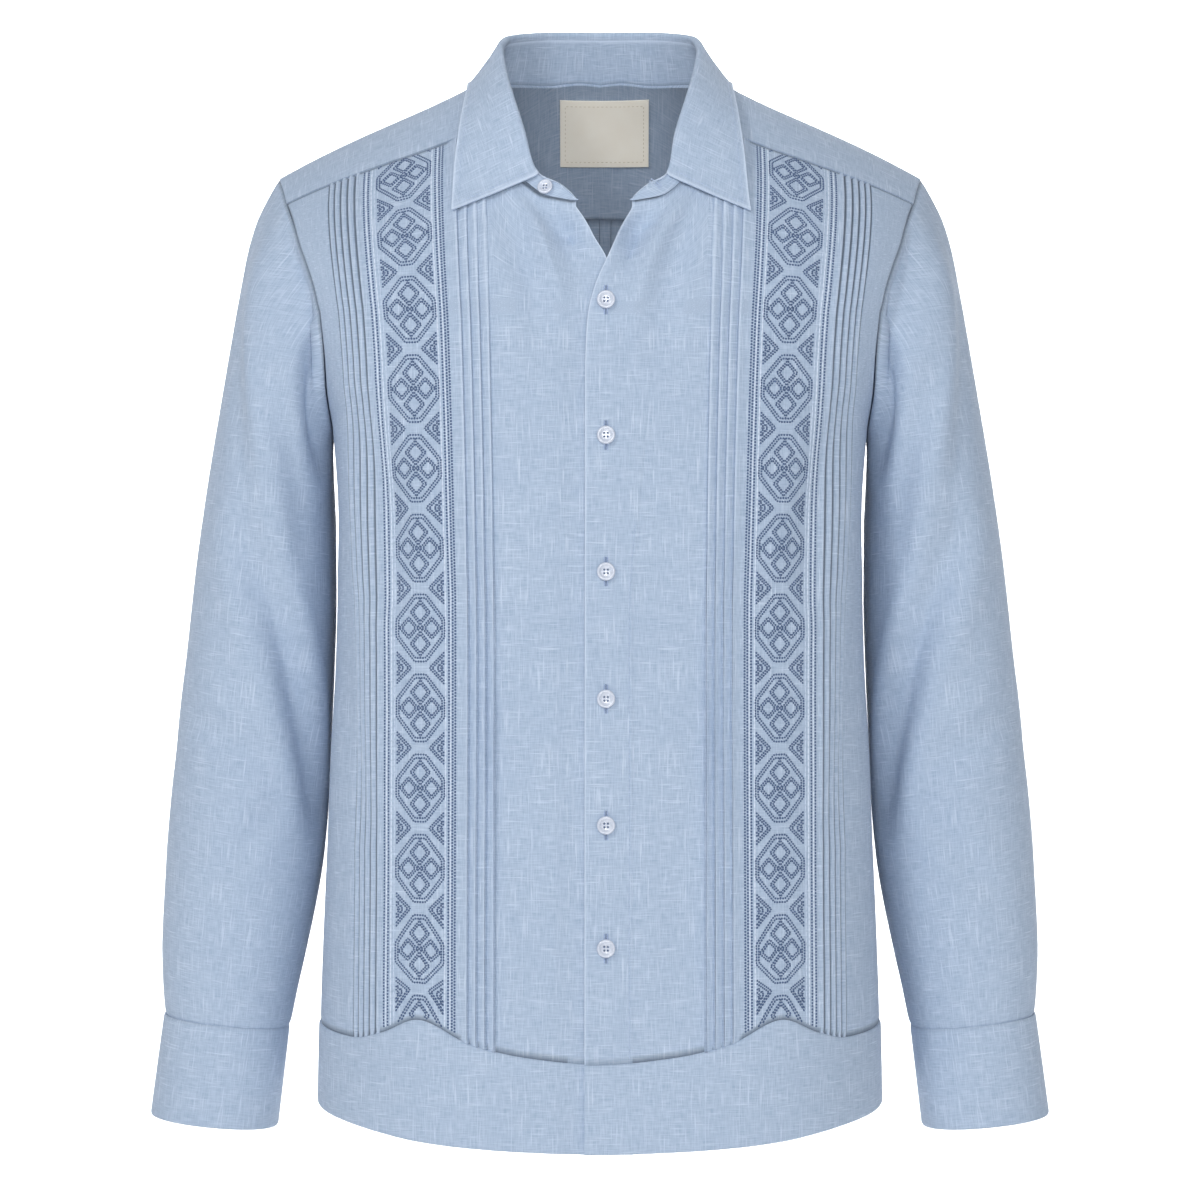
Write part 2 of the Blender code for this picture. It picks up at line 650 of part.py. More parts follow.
def on_form(point):
    """The form's nearest point and its outward normal."""
    near, normal = FORM.find_nearest(Vector(point))[:2]
    return np.array(near), np.array(normal if normal.z > 0 else -normal)


def collar_line(turn):
    """One line across the collar: its base, its fold, the leaf's edge, and the frame they lie in. The stand and
    the leaf are cut from the one line, so they meet at the seam."""
    side = -1 if turn < 0 else 1
    at = abs(turn)
    row = {key: float(COLLAR(key, at)) for key in COLLAR.columns}
    shift = np.array([CLOSURE_SHIFT * float(ease((at - 135) / 25)), 0.0, 0.0])
    flip = np.array([side, 1.0, 1.0])
    base = on_shoulder(row["base_across"], row["base_angle"])
    base = (base + on_form(base)[1] * SEAM_GAP) * flip + shift
    fold = np.array([row["fold_x"], row["fold_y"], row["fold_z"]]) * flip + shift
    tip = np.array([row["tip_x"], row["tip_y"], row["tip_z"]]) * flip + shift * 0.5
    down, out = base - fold, tip - fold
    tall = np.linalg.norm(down)
    radius = min(COLLAR_FOLD, tall * 0.22)
    crest = -(down / tall + out / np.linalg.norm(out))
    crest = crest / np.linalg.norm(crest)
    aside = out - crest * float(out @ crest)
    aside = aside / np.linalg.norm(aside)
    line = {"crest": crest, "aside": aside, "radius": radius, "centre": fold - crest * radius}
    return line | {"ends": {-1: base, 1: tip}}


def collar_run(line, sign):
    """Where the cloth leaves the fold towards one end: the angle from the crest, that place, and the way on."""
    offset = line["ends"][sign] - line["centre"]
    high, wide = float(offset @ line["crest"]), float(offset @ line["aside"]) * sign
    angle = math.atan2(wide, high) - math.acos(min(line["radius"] / math.hypot(high, wide), 1.0))
    return angle, collar_fold(line, angle * sign)


def collar_fold(line, angle):
    arm = line["crest"] * math.cos(angle) + line["aside"] * math.sin(angle)
    return line["centre"] + line["radius"] * arm


def collar_point(line, distance):
    """A point on a collar line by its distance from the crest: below zero towards the base."""
    sign = -1 if distance < 0 else 1
    angle, leave = collar_run(line, sign)
    rest = abs(distance) - line["radius"] * angle
    if rest <= 0:
        return collar_fold(line, distance / line["radius"])
    way = line["ends"][sign] - leave
    return leave + way / np.linalg.norm(way) * rest


def collar_length(line, sign):
    angle, leave = collar_run(line, sign)
    return line["radius"] * angle + float(np.linalg.norm(line["ends"][sign] - leave))


STAND_TURNS = (0, 12, 25, 37, 50, 60, 70, 80, 90, 98, 105, 112, 120, 127, 135, 142, 150, 152, 160, 166, 171, 175)
LEAF_TURNS = (0, 12, 25, 37, 50, 60, 70, 80, 90, 98, 105, 112, 120, 127, 135, 142, 150)


def both_sides(turns):
    return [-t for t in turns[::-1]] + list(turns[1:])


def stand_grid():
    columns = []
    for turn in both_sides(STAND_TURNS):
        line = collar_line(turn)
        tall = collar_length(line, -1)
        top = -COLLAR_SEAM - SEAM_GAP / 2 if abs(turn) <= LEAF_END else 0.0
        columns.append([collar_point(line, between(-tall, top, share)) for share in (0.0, 0.35, 0.7, 0.9, 1.0)])
    return np.array(columns).transpose(1, 0, 2)


def leaf_grid():
    columns = []
    for turn in both_sides(LEAF_TURNS):
        line = collar_line(turn)
        inner, outer = (line["radius"] * collar_run(line, sign)[0] for sign in (-1, 1))
        steps = [SEAM_GAP / 2 - COLLAR_SEAM, -inner, -inner / 3, outer / 3, outer]
        steps += [between(outer, collar_length(line, 1), share) for share in (0.25, 0.5, 0.75, 1.0)]
        points = [collar_point(line, distance) for distance in steps]
        for i in range(4, len(points)):
            near, normal = on_form(points[i])
            clear = float((points[i] - near) @ normal)
            points[i] = points[i] + normal * max(COLLAR_CLEAR - clear, 0.0)
        columns.append(points)
    return pull_in(np.array(columns).transpose(1, 0, 2), (False, False))


# ---------------------------------------------------------------- buttons and label
BUTTON_STEPS = 14
BUTTON_PROFILE = (  # distance from the axis and height, as shares of the radius and the thickness
    (0.00, 0.62),
    (0.50, 0.62),
    (0.68, 1.00),
    (0.86, 1.00),
    (1.00, 0.55),
    (0.66, 0.00),
    (0.00, 0.00),
)


def button(name, radius, place, facing):
    """A turned button with a raised rim and four holes, its back at a place."""
    work = bmesh.new()
    points = [work.verts.new((across * radius, 0.0, up * BUTTON_THICKNESS)) for across, up in BUTTON_PROFILE]
    for one, other in zip(points, points[1:]):
        work.edges.new((one, other))
    mesh = bpy.data.meshes.new(name)
    work.to_mesh(mesh)
    work.free()
    made = add_object(name, mesh, PEARL, 0.2)
    where = Matrix.Translation(Vector(place)) @ Vector(facing).to_track_quat("Z", "Y").to_matrix().to_4x4()
    made.matrix_world = where
    screw = made.modifiers.new("turned", "SCREW")
    screw.axis = "Z"
    screw.steps = BUTTON_STEPS
    screw.render_steps = BUTTON_STEPS
    screw.use_merge_vertices = True
    screw.merge_threshold = 0.00002
    work = bmesh.new()
    for corner in range(4):
        around = math.radians(45 + 90 * corner)
        spot = Vector((math.cos(around), math.sin(around), 0.0)) * radius * 0.27
        spot.z = BUTTON_THICKNESS / 2
        wide = radius * 0.115
        deep = BUTTON_THICKNESS * 2
        place_hole = Matrix.Translation(spot)
        bmesh.ops.create_cone(
            work, cap_ends=True, segments=6, radius1=wide, radius2=wide, depth=deep, matrix=place_hole
        )
    holes = bpy.data.meshes.new(name + "_holes")
    work.to_mesh(holes)
    work.free()
    cutter = bpy.data.objects.new(name + "_holes", holes)
    cutter.hide_render = True
    cutter.display_type = "WIRE"
    cutter.matrix_world = where
    cutters.objects.link(cutter)
    cut = made.modifiers.new("holes", "BOOLEAN")
    cut.operation = "DIFFERENCE"
    cut.solver = "EXACT"
    cut.object = cutter
    return made


def tree_of(made):
    """The finished surface of an object as a tree for rays."""
    bpy.context.view_layer.update()
    return BVHTree.FromObject(made, bpy.context.evaluated_depsgraph_get())


def button_on(name, radius, panel, start, towards, gap=0.0005):
    """Puts a button on the panel that a ray from the start first meets."""
    hit, normal = tree_of(panel).ray_cast(Vector(start), Vector(towards))[:2]
    if normal.dot(Vector(towards)) > 0:
        normal = -normal
    return button(name, radius, hit + normal * gap, normal)


def make_label(panel):
    tree = tree_of(panel)
    rows = []
    for i in range(5):
        height = between(LABEL_ENDS[0], LABEL_ENDS[1], i / 4)
        line = []
        for j in range(6):
            across = between(LABEL_SIDES[1], LABEL_SIDES[0], j / 5)
            hit = tree.ray_cast(Vector((across, 0.0, height)), Vector((0.0, 1.0, 0.0)))[0]
            line.append(np.array([across, hit.y - 0.0006, height]))
        rows.append(line)
    return sheet("neck_label", np.array(rows), colour=SATIN, thickness=LABEL_THICKNESS)


# ---------------------------------------------------------------- the shirt
for old in list(bpy.data.objects):
    bpy.data.objects.remove(old)
collection = bpy.data.collections.new("guayabera_shirt")
bpy.context.scene.collection.children.link(collection)
cutters = bpy.data.collections.new("cutters")
bpy.context.scene.collection.children.link(cutters)

FORM = form_tree()
panels, grids = {}, {}
for hand in ("left", "right"):
    panels[hand], grids[hand] = make_front(hand)
    other = hand == "right"
    hem_band("hem_front_" + hand, grids[hand], HEM_FRONT, -1, drop=other, flipped=other, mirror=other)

back, lifts = back_grid()
sheet("back", pull_in(back + normals_of(back) * lifts[None, :, None], (False, True), amount=SEAM_GAP * 0.8))
hem_band("hem_back", back, HEM_BACK, 1, ends=(True, True))
yoke_points = yoke_grid(back[-1, :, 0])
yoke = sheet("yoke", pull_in(yoke_points))

corner = [ray["turn"] for ray in YOKE_RAYS].index(60)
armhole = list(grids["left"][ARMHOLE_ROW:, -1])
armhole += list(yoke_points[0, 1 : corner + 1])
armhole += list(back[-2:ARMHOLE_ROW:-1, 0])
sleeve = pull_in(sleeve_grid(armhole), (False, True), (False, False))
sheet("sleeve_left", sleeve, closed=True, flipped=True)
sheet("sleeve_right", mirrored(sleeve), closed=True)
cuff = pull_in(cuff_grid(), (False, True), (False, False))
cuffs = {"left": sheet("cuff_left", cuff), "right": sheet("cuff_right", mirrored(cuff), flipped=True)}

stand = sheet("collar_stand", stand_grid())
sheet("collar_leaf", leaf_grid())

for number, height in enumerate(BUTTON_HEIGHTS, 1):
    button_on("button_front_%d" % number, BUTTON_RADIUS, panels["left"], (BUTTON_LINE, -0.3, height), (0, 1, 0))
button_on("button_collar", COLLAR_BUTTON_RADIUS, stand, (-0.0337, -0.3, -0.0754), (0, 1, 0))
wrist = cuff_grid()[1]
overlap = wrist[-1] * 0.55 + wrist[-3] * 0.45
for hand, side in (("left", 1), ("right", -1)):
    start = (overlap[0] * side, 0.3, overlap[2])
    button_on("button_cuff_" + hand, COLLAR_BUTTON_RADIUS, cuffs[hand], start, (0, -1, 0))
make_label(yoke)
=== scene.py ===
# %% [markdown]
# # A guayabera shirt
# This lesson dresses a plain, solid model of a long-sleeved linen shirt. The model gives each panel's place,
# and here every panel is made again as fine cloth, with its tucks, seams, stitches and embroidery. The shirt
# is hollow, as if someone wore it. The front faces -Y, and the wearer's left is +X.

import math

import bmesh
import bpy
import numpy as np
from mathutils import Matrix, Vector
from mathutils.bvhtree import BVHTree


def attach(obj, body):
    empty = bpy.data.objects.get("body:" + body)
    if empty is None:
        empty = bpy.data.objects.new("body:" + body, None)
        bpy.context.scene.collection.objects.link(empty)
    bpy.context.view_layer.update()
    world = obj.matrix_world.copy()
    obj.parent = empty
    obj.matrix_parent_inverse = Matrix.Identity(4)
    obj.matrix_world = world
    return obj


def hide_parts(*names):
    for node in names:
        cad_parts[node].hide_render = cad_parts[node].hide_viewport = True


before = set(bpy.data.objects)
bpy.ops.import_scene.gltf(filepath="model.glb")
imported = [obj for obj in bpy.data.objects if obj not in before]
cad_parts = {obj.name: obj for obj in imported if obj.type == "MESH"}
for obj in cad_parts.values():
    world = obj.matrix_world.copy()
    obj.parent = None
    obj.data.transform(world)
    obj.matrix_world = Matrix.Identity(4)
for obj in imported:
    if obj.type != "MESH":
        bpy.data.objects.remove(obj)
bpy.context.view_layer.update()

# %% [markdown]
# ## The body form
# A shirt's panels lie on one general figure. Its size at each height is in short tables, and a smooth curve
# is read through each table. A curve that never overshoots keeps the side from bulging between two rows.

# %% Tables of sizes
CLOTH = 0.0011


class Table:
    """Rows of named sizes, read along a smooth curve that never overshoots them."""

    def __init__(self, columns, *rows):
        values = np.array(rows, float).T
        self.place = values[0]
        self.columns = dict(zip(columns.split()[1:], values[1:]))

    def __call__(self, column, place):
        x, y = self.place, self.columns[column]
        step = np.diff(x)
        slope = np.diff(y) / step
        before, after = slope[:-1], slope[1:]
        safe = np.where(before * after > 0, before + after, 1.0)
        inner = np.where(before * after > 0, 2 * before * after / safe, 0.0)
        tangent = np.concatenate([slope[:1], inner, slope[-1:]])
        at = np.clip(place, x[0], x[-1])
        i = np.clip(np.searchsorted(x, at) - 1, 0, len(step) - 1)
        t = (at - x[i]) / step[i]
        low = y[i] * (1 + 2 * t) * (1 - t) ** 2 + tangent[i] * step[i] * t * (1 - t) ** 2
        return low + y[i + 1] * (3 - 2 * t) * t**2 + tangent[i + 1] * step[i] * t**2 * (t - 1)


# Half breadth, and the depth before and behind the middle, from the hem up.
TORSO = Table(
    "height breadth front back",
    (-0.675, 0.1815, 0.1370, 0.1310),
    (-0.600, 0.1800, 0.1340, 0.1275),
    (-0.480, 0.1755, 0.1280, 0.1210),
    (-0.364, 0.1706, 0.1240, 0.1170),
    (-0.280, 0.1687, 0.1235, 0.1160),
    (-0.222, 0.1720, 0.1215, 0.1155),
    (-0.185, 0.1830, 0.1190, 0.1150),
    (-0.150, 0.1965, 0.1160, 0.1150),
    (-0.107, 0.2120, 0.1160, 0.1150),
    (-0.050, 0.2220, 0.1160, 0.1150),
)
RIDGE = Table(
    "across height",
    (0.000, 0.0460),
    (0.012, 0.0450),
    (0.030, 0.0385),
    (0.055, 0.0204),
    (0.0785, 0.0043),
    (0.106, -0.0098),
    (0.133, -0.0218),
    (0.160, -0.0338),
    (0.183, -0.0449),
    (0.2085, -0.0585),
    (0.222, -0.0660),
)
print("the shoulders are", 2 * 0.2085, "m across")

# %% [markdown]
# Up to the chest a level section of the form is a superellipse, which is squarer than an ellipse, as a body
# is. Above the chest the form closes over the shoulders' ridge. A point there is placed by its distance from
# the centre and by its angle round the ridge, from -90 degrees on the chest to 90 on the back.

# %% The form's surface
SQUARENESS = 2.9
CHEST_TOP = -0.150
UNDERARM = -0.222


def between(a, b, share):
    return a + (b - a) * share


def ease(share):
    share = np.clip(share, 0.0, 1.0)
    return share * share * (3 - 2 * share)


def rim(across, height):
    """The share of the full depth that is left at a distance from the centre."""
    reach = np.clip(np.abs(across) / TORSO("breadth", height), 0.0, 1.0)
    return np.maximum(1 - reach**SQUARENESS, 0.0) ** (1 / SQUARENESS)


def across_from_rim(share, height):
    return TORSO("breadth", height) * np.maximum(1 - share**SQUARENESS, 0.0) ** (1 / SQUARENESS)


def on_body(across, height, side):
    """Points below the chest's top. side is -1 in front and 1 behind."""
    across, height = np.broadcast_arrays(np.asarray(across, float), np.asarray(height, float))
    depth = TORSO("front" if side < 0 else "back", height)
    return np.stack([across, side * depth * rim(across, height), height], -1)


def on_shoulder(across, angle):
    """Points above it, by their angle round the ridge."""
    across, angle = np.broadcast_arrays(np.asarray(across, float), np.asarray(angle, float))
    front = angle < 0
    power = np.where(front, 2 / 1.5, 2 / 2.0)
    turn = np.radians(np.abs(angle))
    height = between(CHEST_TOP, RIDGE("height", np.abs(across)), np.maximum(np.cos(turn), 0.0) ** power)
    depth = np.where(front, TORSO("front", height), TORSO("back", height))
    forward = np.sign(angle) * depth * rim(across, height) * np.sin(turn) ** power
    return np.stack([across, forward, height], -1)


print("chest", on_body(0.0, CHEST_TOP, -1), "and ridge", on_shoulder(0.1, 0.0))

# %% [markdown]
# ## A cloth sheet
# Each panel starts as a grid of points. Its rows and columns are kept, so that a fold, a stitch or a button
# can be placed by them. The outer side takes the small relief of tucks and seams. The inner side follows the
# plain form one cloth's thickness further in. A UV map in metres of cloth lets the weave follow the panel.

# %% Sheets
def unit(vectors):
    return vectors / np.maximum(np.linalg.norm(vectors, axis=-1, keepdims=True), 1e-12)


def normals_of(grid, closed=False):
    """Unit normals of a grid of points, from its rows and columns."""
    if closed:
        loop = np.concatenate([grid[:, -2:-1], grid, grid[:, 1:2]], axis=1)
        around = loop[:, 2:] - loop[:, :-2]
    else:
        around = np.gradient(grid, axis=1)
    return unit(np.cross(around, np.gradient(grid, axis=0)))


def run_of(grid, axis):
    """How far each point is along its row or column, in metres of cloth."""
    steps = np.linalg.norm(np.diff(grid, axis=axis), axis=2)
    start = np.zeros_like(np.take(steps, [0], axis=axis))
    return np.cumsum(np.concatenate([start, steps], axis=axis), axis=axis)


class Sheet:
    """A panel: its plain form, the relief on its outer side, and its normals."""

    def __init__(self, form, closed=False, flip=False):
        self.form, self.closed, self.flip = form, closed, flip
        self.normals = normals_of(form, closed) * (-1 if flip else 1)
        self.grid = form
        self.lift = np.zeros(form.shape[:2])
        self.along, self.across = run_of(form, 0), run_of(form, 1)

    def push(self, amount):
        """Moves the whole cloth out along its normals."""
        form = self.form + self.normals * np.broadcast_to(amount, self.form.shape[:2])[..., None]
        self.__init__(form, self.closed, self.flip)
        return self

    def relief(self, lift):
        """Moves only the outer side."""
        self.lift = np.broadcast_to(lift, self.form.shape[:2])
        self.grid = self.form + self.normals * np.broadcast_to(lift, self.form.shape[:2])[..., None]
        return self

    def border(self, *sides):
        """The distance to the nearest of the borders that are named, in metres of cloth."""
        up, out = self.along, self.across
        runs = {"bottom": up, "top": up[-1:] - up, "first": out, "last": out[:, -1:] - out}
        return np.min([runs[side] for side in sides], axis=0)

    def place(self, row, column, lift=0.0):
        """Points and normals at fractional rows and columns."""
        rows, columns = self.grid.shape[:2]
        row, column = np.broadcast_arrays(np.clip(row, 0, rows - 1.001), np.clip(column, 0, columns - 1.001))
        i, j = row.astype(int), column.astype(int)
        s, t = (row - i)[..., None], (column - j)[..., None]

        def read(values):
            near = between(values[i, j], values[i, j + 1], t)
            return between(near, between(values[i + 1, j], values[i + 1, j + 1], t), s)

        normal = unit(read(self.normals))
        return read(self.grid) + normal * np.asarray(lift)[..., None], normal


def add_mesh(name, points, faces, uvs=None):
    """A new object from points and faces, with a UV for each face corner."""
    mesh = bpy.data.meshes.new(name)
    mesh.from_pydata(np.asarray(points).tolist(), [], faces)
    if uvs is not None:
        layer = mesh.uv_layers.new(name="cloth")
        layer.data.foreach_set("uv", np.asarray(uvs, np.float32).ravel())
    mesh.shade_smooth()
    mesh.set_sharp_from_angle(angle=math.radians(65))
    made = bpy.data.objects.new(name, mesh)
    bpy.context.scene.collection.objects.link(made)
    return made


def shell_faces(rows, columns, closed):
    """The faces of a two-sided sheet. Corners count the outer side's points first, then the inner side's."""
    outer = np.arange(rows * columns).reshape(rows, columns)
    inner = outer + rows * columns

    def quads(a, b, c, d):
        return np.stack([a, b, c, d], -1).reshape(-1, 4)

    faces = [
        quads(outer[:-1, :-1], outer[:-1, 1:], outer[1:, 1:], outer[1:, :-1]),
        quads(inner[1:, :-1], inner[1:, 1:], inner[:-1, 1:], inner[:-1, :-1]),
        quads(inner[0, :-1], inner[0, 1:], outer[0, 1:], outer[0, :-1]),
        quads(outer[-1, :-1], outer[-1, 1:], inner[-1, 1:], inner[-1, :-1]),
    ]
    if not closed:
        faces.append(quads(inner[1:, 0], inner[:-1, 0], outer[:-1, 0], outer[1:, 0]))
        faces.append(quads(outer[1:, -1], outer[:-1, -1], inner[:-1, -1], inner[1:, -1]))
    return np.concatenate(faces)


def cloth_piece(name, sheet, finish, mirror=False, thickness=CLOTH, grain=None, inside=0.0, painted_highlight=0.0, inner=0.0):
    """Makes a sheet into a shown piece that stands for the solid node of the same name. The grain is where
    each point lies on the flat cloth. Its colour takes painted light from a point attribute: painted shade where
    the outer side sinks below the plain form, lightened by the given painted highlight, and painted shade on
    the inner side by the given inner amount."""
    rows, columns = sheet.grid.shape[:2]
    deep = np.broadcast_to(thickness + inside, (rows, columns))[..., None]
    behind = sheet.form - sheet.normals * deep
    points = np.concatenate([sheet.grid.reshape(-1, 3), behind.reshape(-1, 3)])
    if grain is None:
        grain = (sheet.across[rows // 2], sheet.along)
    flat = [np.broadcast_to(part, (rows, columns)).ravel() for part in grain]
    uvs = np.tile(np.stack(flat, -1), (2, 1))
    faces = shell_faces(rows, columns, sheet.closed)
    if sheet.flip != mirror:
        faces = faces[:, ::-1]
    corners = faces
    if sheet.closed:
        index = np.arange(len(points))
        last = index % columns == columns - 1
        corners = np.where(last, index - (columns - 1), index)[faces]
    if mirror:
        points = points * np.array([-1, 1, 1])
    piece = add_mesh("cloth_" + name, points, corners.tolist(), uvs[faces.ravel()])
    # Painted shade and painted highlight: grooves and seams in the relief darken the colour, the given highlight
    # lightens it, and the inner side is darkened by the given amount.
    painted_shading = piece.data.attributes.new("painted_shading", "FLOAT", "POINT")
    shade = np.maximum(np.clip(-sheet.lift / 0.0006, -1, 1), 0) - np.broadcast_to(painted_highlight, (rows, columns))
    painted_shading.data.foreach_set("value", np.concatenate([shade.ravel(), np.broadcast_to(inner, (rows, columns)).ravel()]))
    if sheet.closed:
        trim_loose(piece)
    show(piece, finish, name)
    across = float(sheet.across[:, -1].max())
    along = float(sheet.along[-1].max())
    area = float(np.linalg.norm(np.cross(np.diff(sheet.grid, axis=1)[:-1], np.diff(sheet.grid, axis=0)[:, :-1]), axis=2).sum())
    FLAT[name] = (round(across, 4), round(along, 4), round(area, 5))
    return piece


def trim_loose(piece):
    """Removes the points that no face uses."""
    work = bmesh.new()
    work.from_mesh(piece.data)
    bmesh.ops.delete(work, geom=[v for v in work.verts if not v.link_faces], context="VERTS")
    work.to_mesh(piece.data)
    work.free()


def show(piece, finish, node=None):
    """Gives a piece its finish, lets it ride on the shirt and hides the node that it stands for."""
    piece.data.materials.clear()
    piece.data.materials.append(finish)
    if node:
        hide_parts(node)
    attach(piece, "root")
    return piece


FLAT = {}
print("sheets are", CLOTH * 1000, "mm thick")

# %% [markdown]
# ## Shader maths
# A small class wraps a socket, so that a mask or a blend can be written as an ordinary sum. Every other node
# comes from one method that takes its type, its settings and what goes into its sockets.

# %% The shader helper
class Value:
    """A number that changes over the surface."""

    def __init__(self, graph, socket):
        self.graph, self.socket = graph, socket

    def _math(self, operation, other=None, swap=False, **more):
        pair = (other, self) if swap else (self, other)
        inputs = {i: v for i, v in enumerate(pair) if v is not None}
        return self.graph.node("ShaderNodeMath", {"operation": operation, **more}, inputs)

    def __add__(self, other):
        return self._math("ADD", other)

    def __sub__(self, other):
        return self._math("SUBTRACT", other)

    def __rsub__(self, other):
        return self._math("SUBTRACT", other, swap=True)

    def __mul__(self, other):
        return self._math("MULTIPLY", other)

    def __truediv__(self, other):
        return self._math("DIVIDE", other)

    def __pow__(self, other):
        return self._math("POWER", other)

    __radd__ = __add__
    __rmul__ = __mul__

    def most(self, other):
        return self._math("MAXIMUM", other)

    def clamped(self):
        return self._math("ADD", 0.0, use_clamp=True)

    def sine(self):
        return self._math("SINE")


class Graph:
    """The nodes of one material."""

    def __init__(self, name):
        self.material = bpy.data.materials.new(name)
        self.material.use_nodes = True
        self.tree = self.material.node_tree
        self.shader = self.tree.nodes["Principled BSDF"]

    def node(self, kind, settings=None, inputs=None, output=0):
        made = self.tree.nodes.new(kind)
        for key, value in (settings or {}).items():
            setattr(made, key, value)
        for key, value in (inputs or {}).items():
            self.feed(made.inputs[key], value)
        return Value(self, made.outputs[output])

    def feed(self, socket, value):
        if isinstance(value, Value):
            self.tree.links.new(value.socket, socket)
        else:
            socket.default_value = value

    def mix(self, share, a, b):
        """Blends two colours."""
        return self.node("ShaderNodeMix", {"data_type": "RGBA"}, {0: share, 6: a, 7: b}, 2)

    def noise(self, place, scale, detail=2.0):
        return self.node("ShaderNodeTexNoise", None, {"Vector": place, "Scale": scale, "Detail": detail})

    def finish(self, bump=None, strength=0.3, distance=0.0005, **sockets):
        """Sets the shader's sockets by name, and its normal from a height."""
        for key, value in sockets.items():
            self.feed(self.shader.inputs[key.replace("_", " ")], value)
        if bump is not None:
            raised = self.node("ShaderNodeBump", None, {"Height": bump, "Strength": strength, "Distance": distance})
            self.feed(self.shader.inputs["Normal"], raised)
        return self.material


def seen(red, green, blue):
    """A colour as a screen shows it, from 0 to 255, as the light that a shader wants."""
    shares = np.array([red, green, blue]) / 255
    light = np.where(shares <= 0.04045, shares / 12.92, ((shares + 0.055) / 1.055) ** 2.4)
    return (*light.tolist(), 1.0)


print("the cloth's blue is", seen(175, 195, 223))

# %% [markdown]
# ## Linen
# Linen yarn is spun unevenly. Thick places, called slubs, run for a few centimetres along a single thread,
# both up the cloth and across it, so a plain weave shows as a fine and irregular cross-hatch. Noise that is
# stretched along each thread gives the slubs, and only its strongest streaks show as pale threads. Two fine
# waves make the weave itself.

# %% Linen finish
def linen(name, light, middle, dark):
    """Plain woven linen between three close colours."""
    g = Graph(name)
    uv = g.node("ShaderNodeUVMap", {"uv_map": "cloth"})
    apart = g.node("ShaderNodeSeparateXYZ", None, {0: uv})
    u, v = apart, Value(g, apart.socket.node.outputs[1])

    def threads(along, across, length, width, seed, detail=1.0):
        """Streaks that follow the threads of one direction."""
        spot = {0: across * (1 / width), 1: along * (1 / length), 2: seed}
        return g.noise(g.node("ShaderNodeCombineXYZ", None, spot), 1.0, detail)

    up = threads(v, u, 0.009, 0.0007, 1.0)
    level = threads(u, v, 0.009, 0.0007, 7.0)
    long_up = threads(v, u, 0.026, 0.0011, 13.0)
    long_level = threads(u, v, 0.022, 0.0010, 19.0)
    slubs = (((long_up - 0.59) * 7.0).clamped()).most(((long_level - 0.60) * 7.0).clamped())
    weave = (u * (2 * math.pi / 0.0008)).sine() * (v * (2 * math.pi / 0.0008)).sine()
    grain = ((up - 0.5) * 1.5 + (level - 0.5) * 1.5 + 0.55 + weave * 0.05).clamped()
    cloud = g.noise(uv, 11.0)
    # Reads the sheet's attribute of painted shade and painted highlight.
    painted_shading = g.node("ShaderNodeAttribute", {"attribute_name": "painted_shading"}, None, 2)
    colour = g.mix(grain, seen(*dark), seen(*middle))
    colour = g.mix(slubs * 0.6, colour, seen(*light))
    colour = g.mix((cloud - 0.42).clamped() * 0.4, colour, seen(*dark))
    # Painted shade darkens grooves, seams and the inner side; painted highlight lightens edges and tuck crests.
    colour = g.mix((painted_shading * 0.75).clamped(), colour, seen(*(c * 0.5 for c in dark)))
    colour = g.mix((painted_shading * -0.75).clamped(), colour, seen(*(c * 1.03 for c in light)))
    height = grain * 0.5 + slubs * 0.6 + weave * 0.1
    return g.finish(
        bump=height,
        strength=0.35,
        distance=0.0004,
        Base_Color=colour,
        Roughness=0.86 - slubs * 0.08,
        Specular_IOR_Level=0.22,
        Sheen_Weight=0.10,
        Sheen_Roughness=0.5,
    )


LINEN = linen("blue_linen", (205, 218, 236), (181, 197, 218), (153, 172, 197))
print("finish", LINEN.name)

# %% [markdown]
# ## Thread and stitches
# A stitch is a short length of thread that rises out of the cloth and dives back in. Each one is a bent
# three-sided bar, and all the stitches of a piece are one joined mesh, which draws fast. A line of stitches
# follows rows and columns of its sheet, so it stays on the cloth through every fold.

# %% Stitches
BAR = np.array([(a, a + 1, a + 4, a + 3) for a in (0, 3, 6)] + [(a + 1, a + 2, a + 5, a + 4) for a in (0, 3, 6)])
BAR = np.concatenate([BAR, [(a + 2, a, a + 3, a + 5) for a in (0, 3, 6)]])


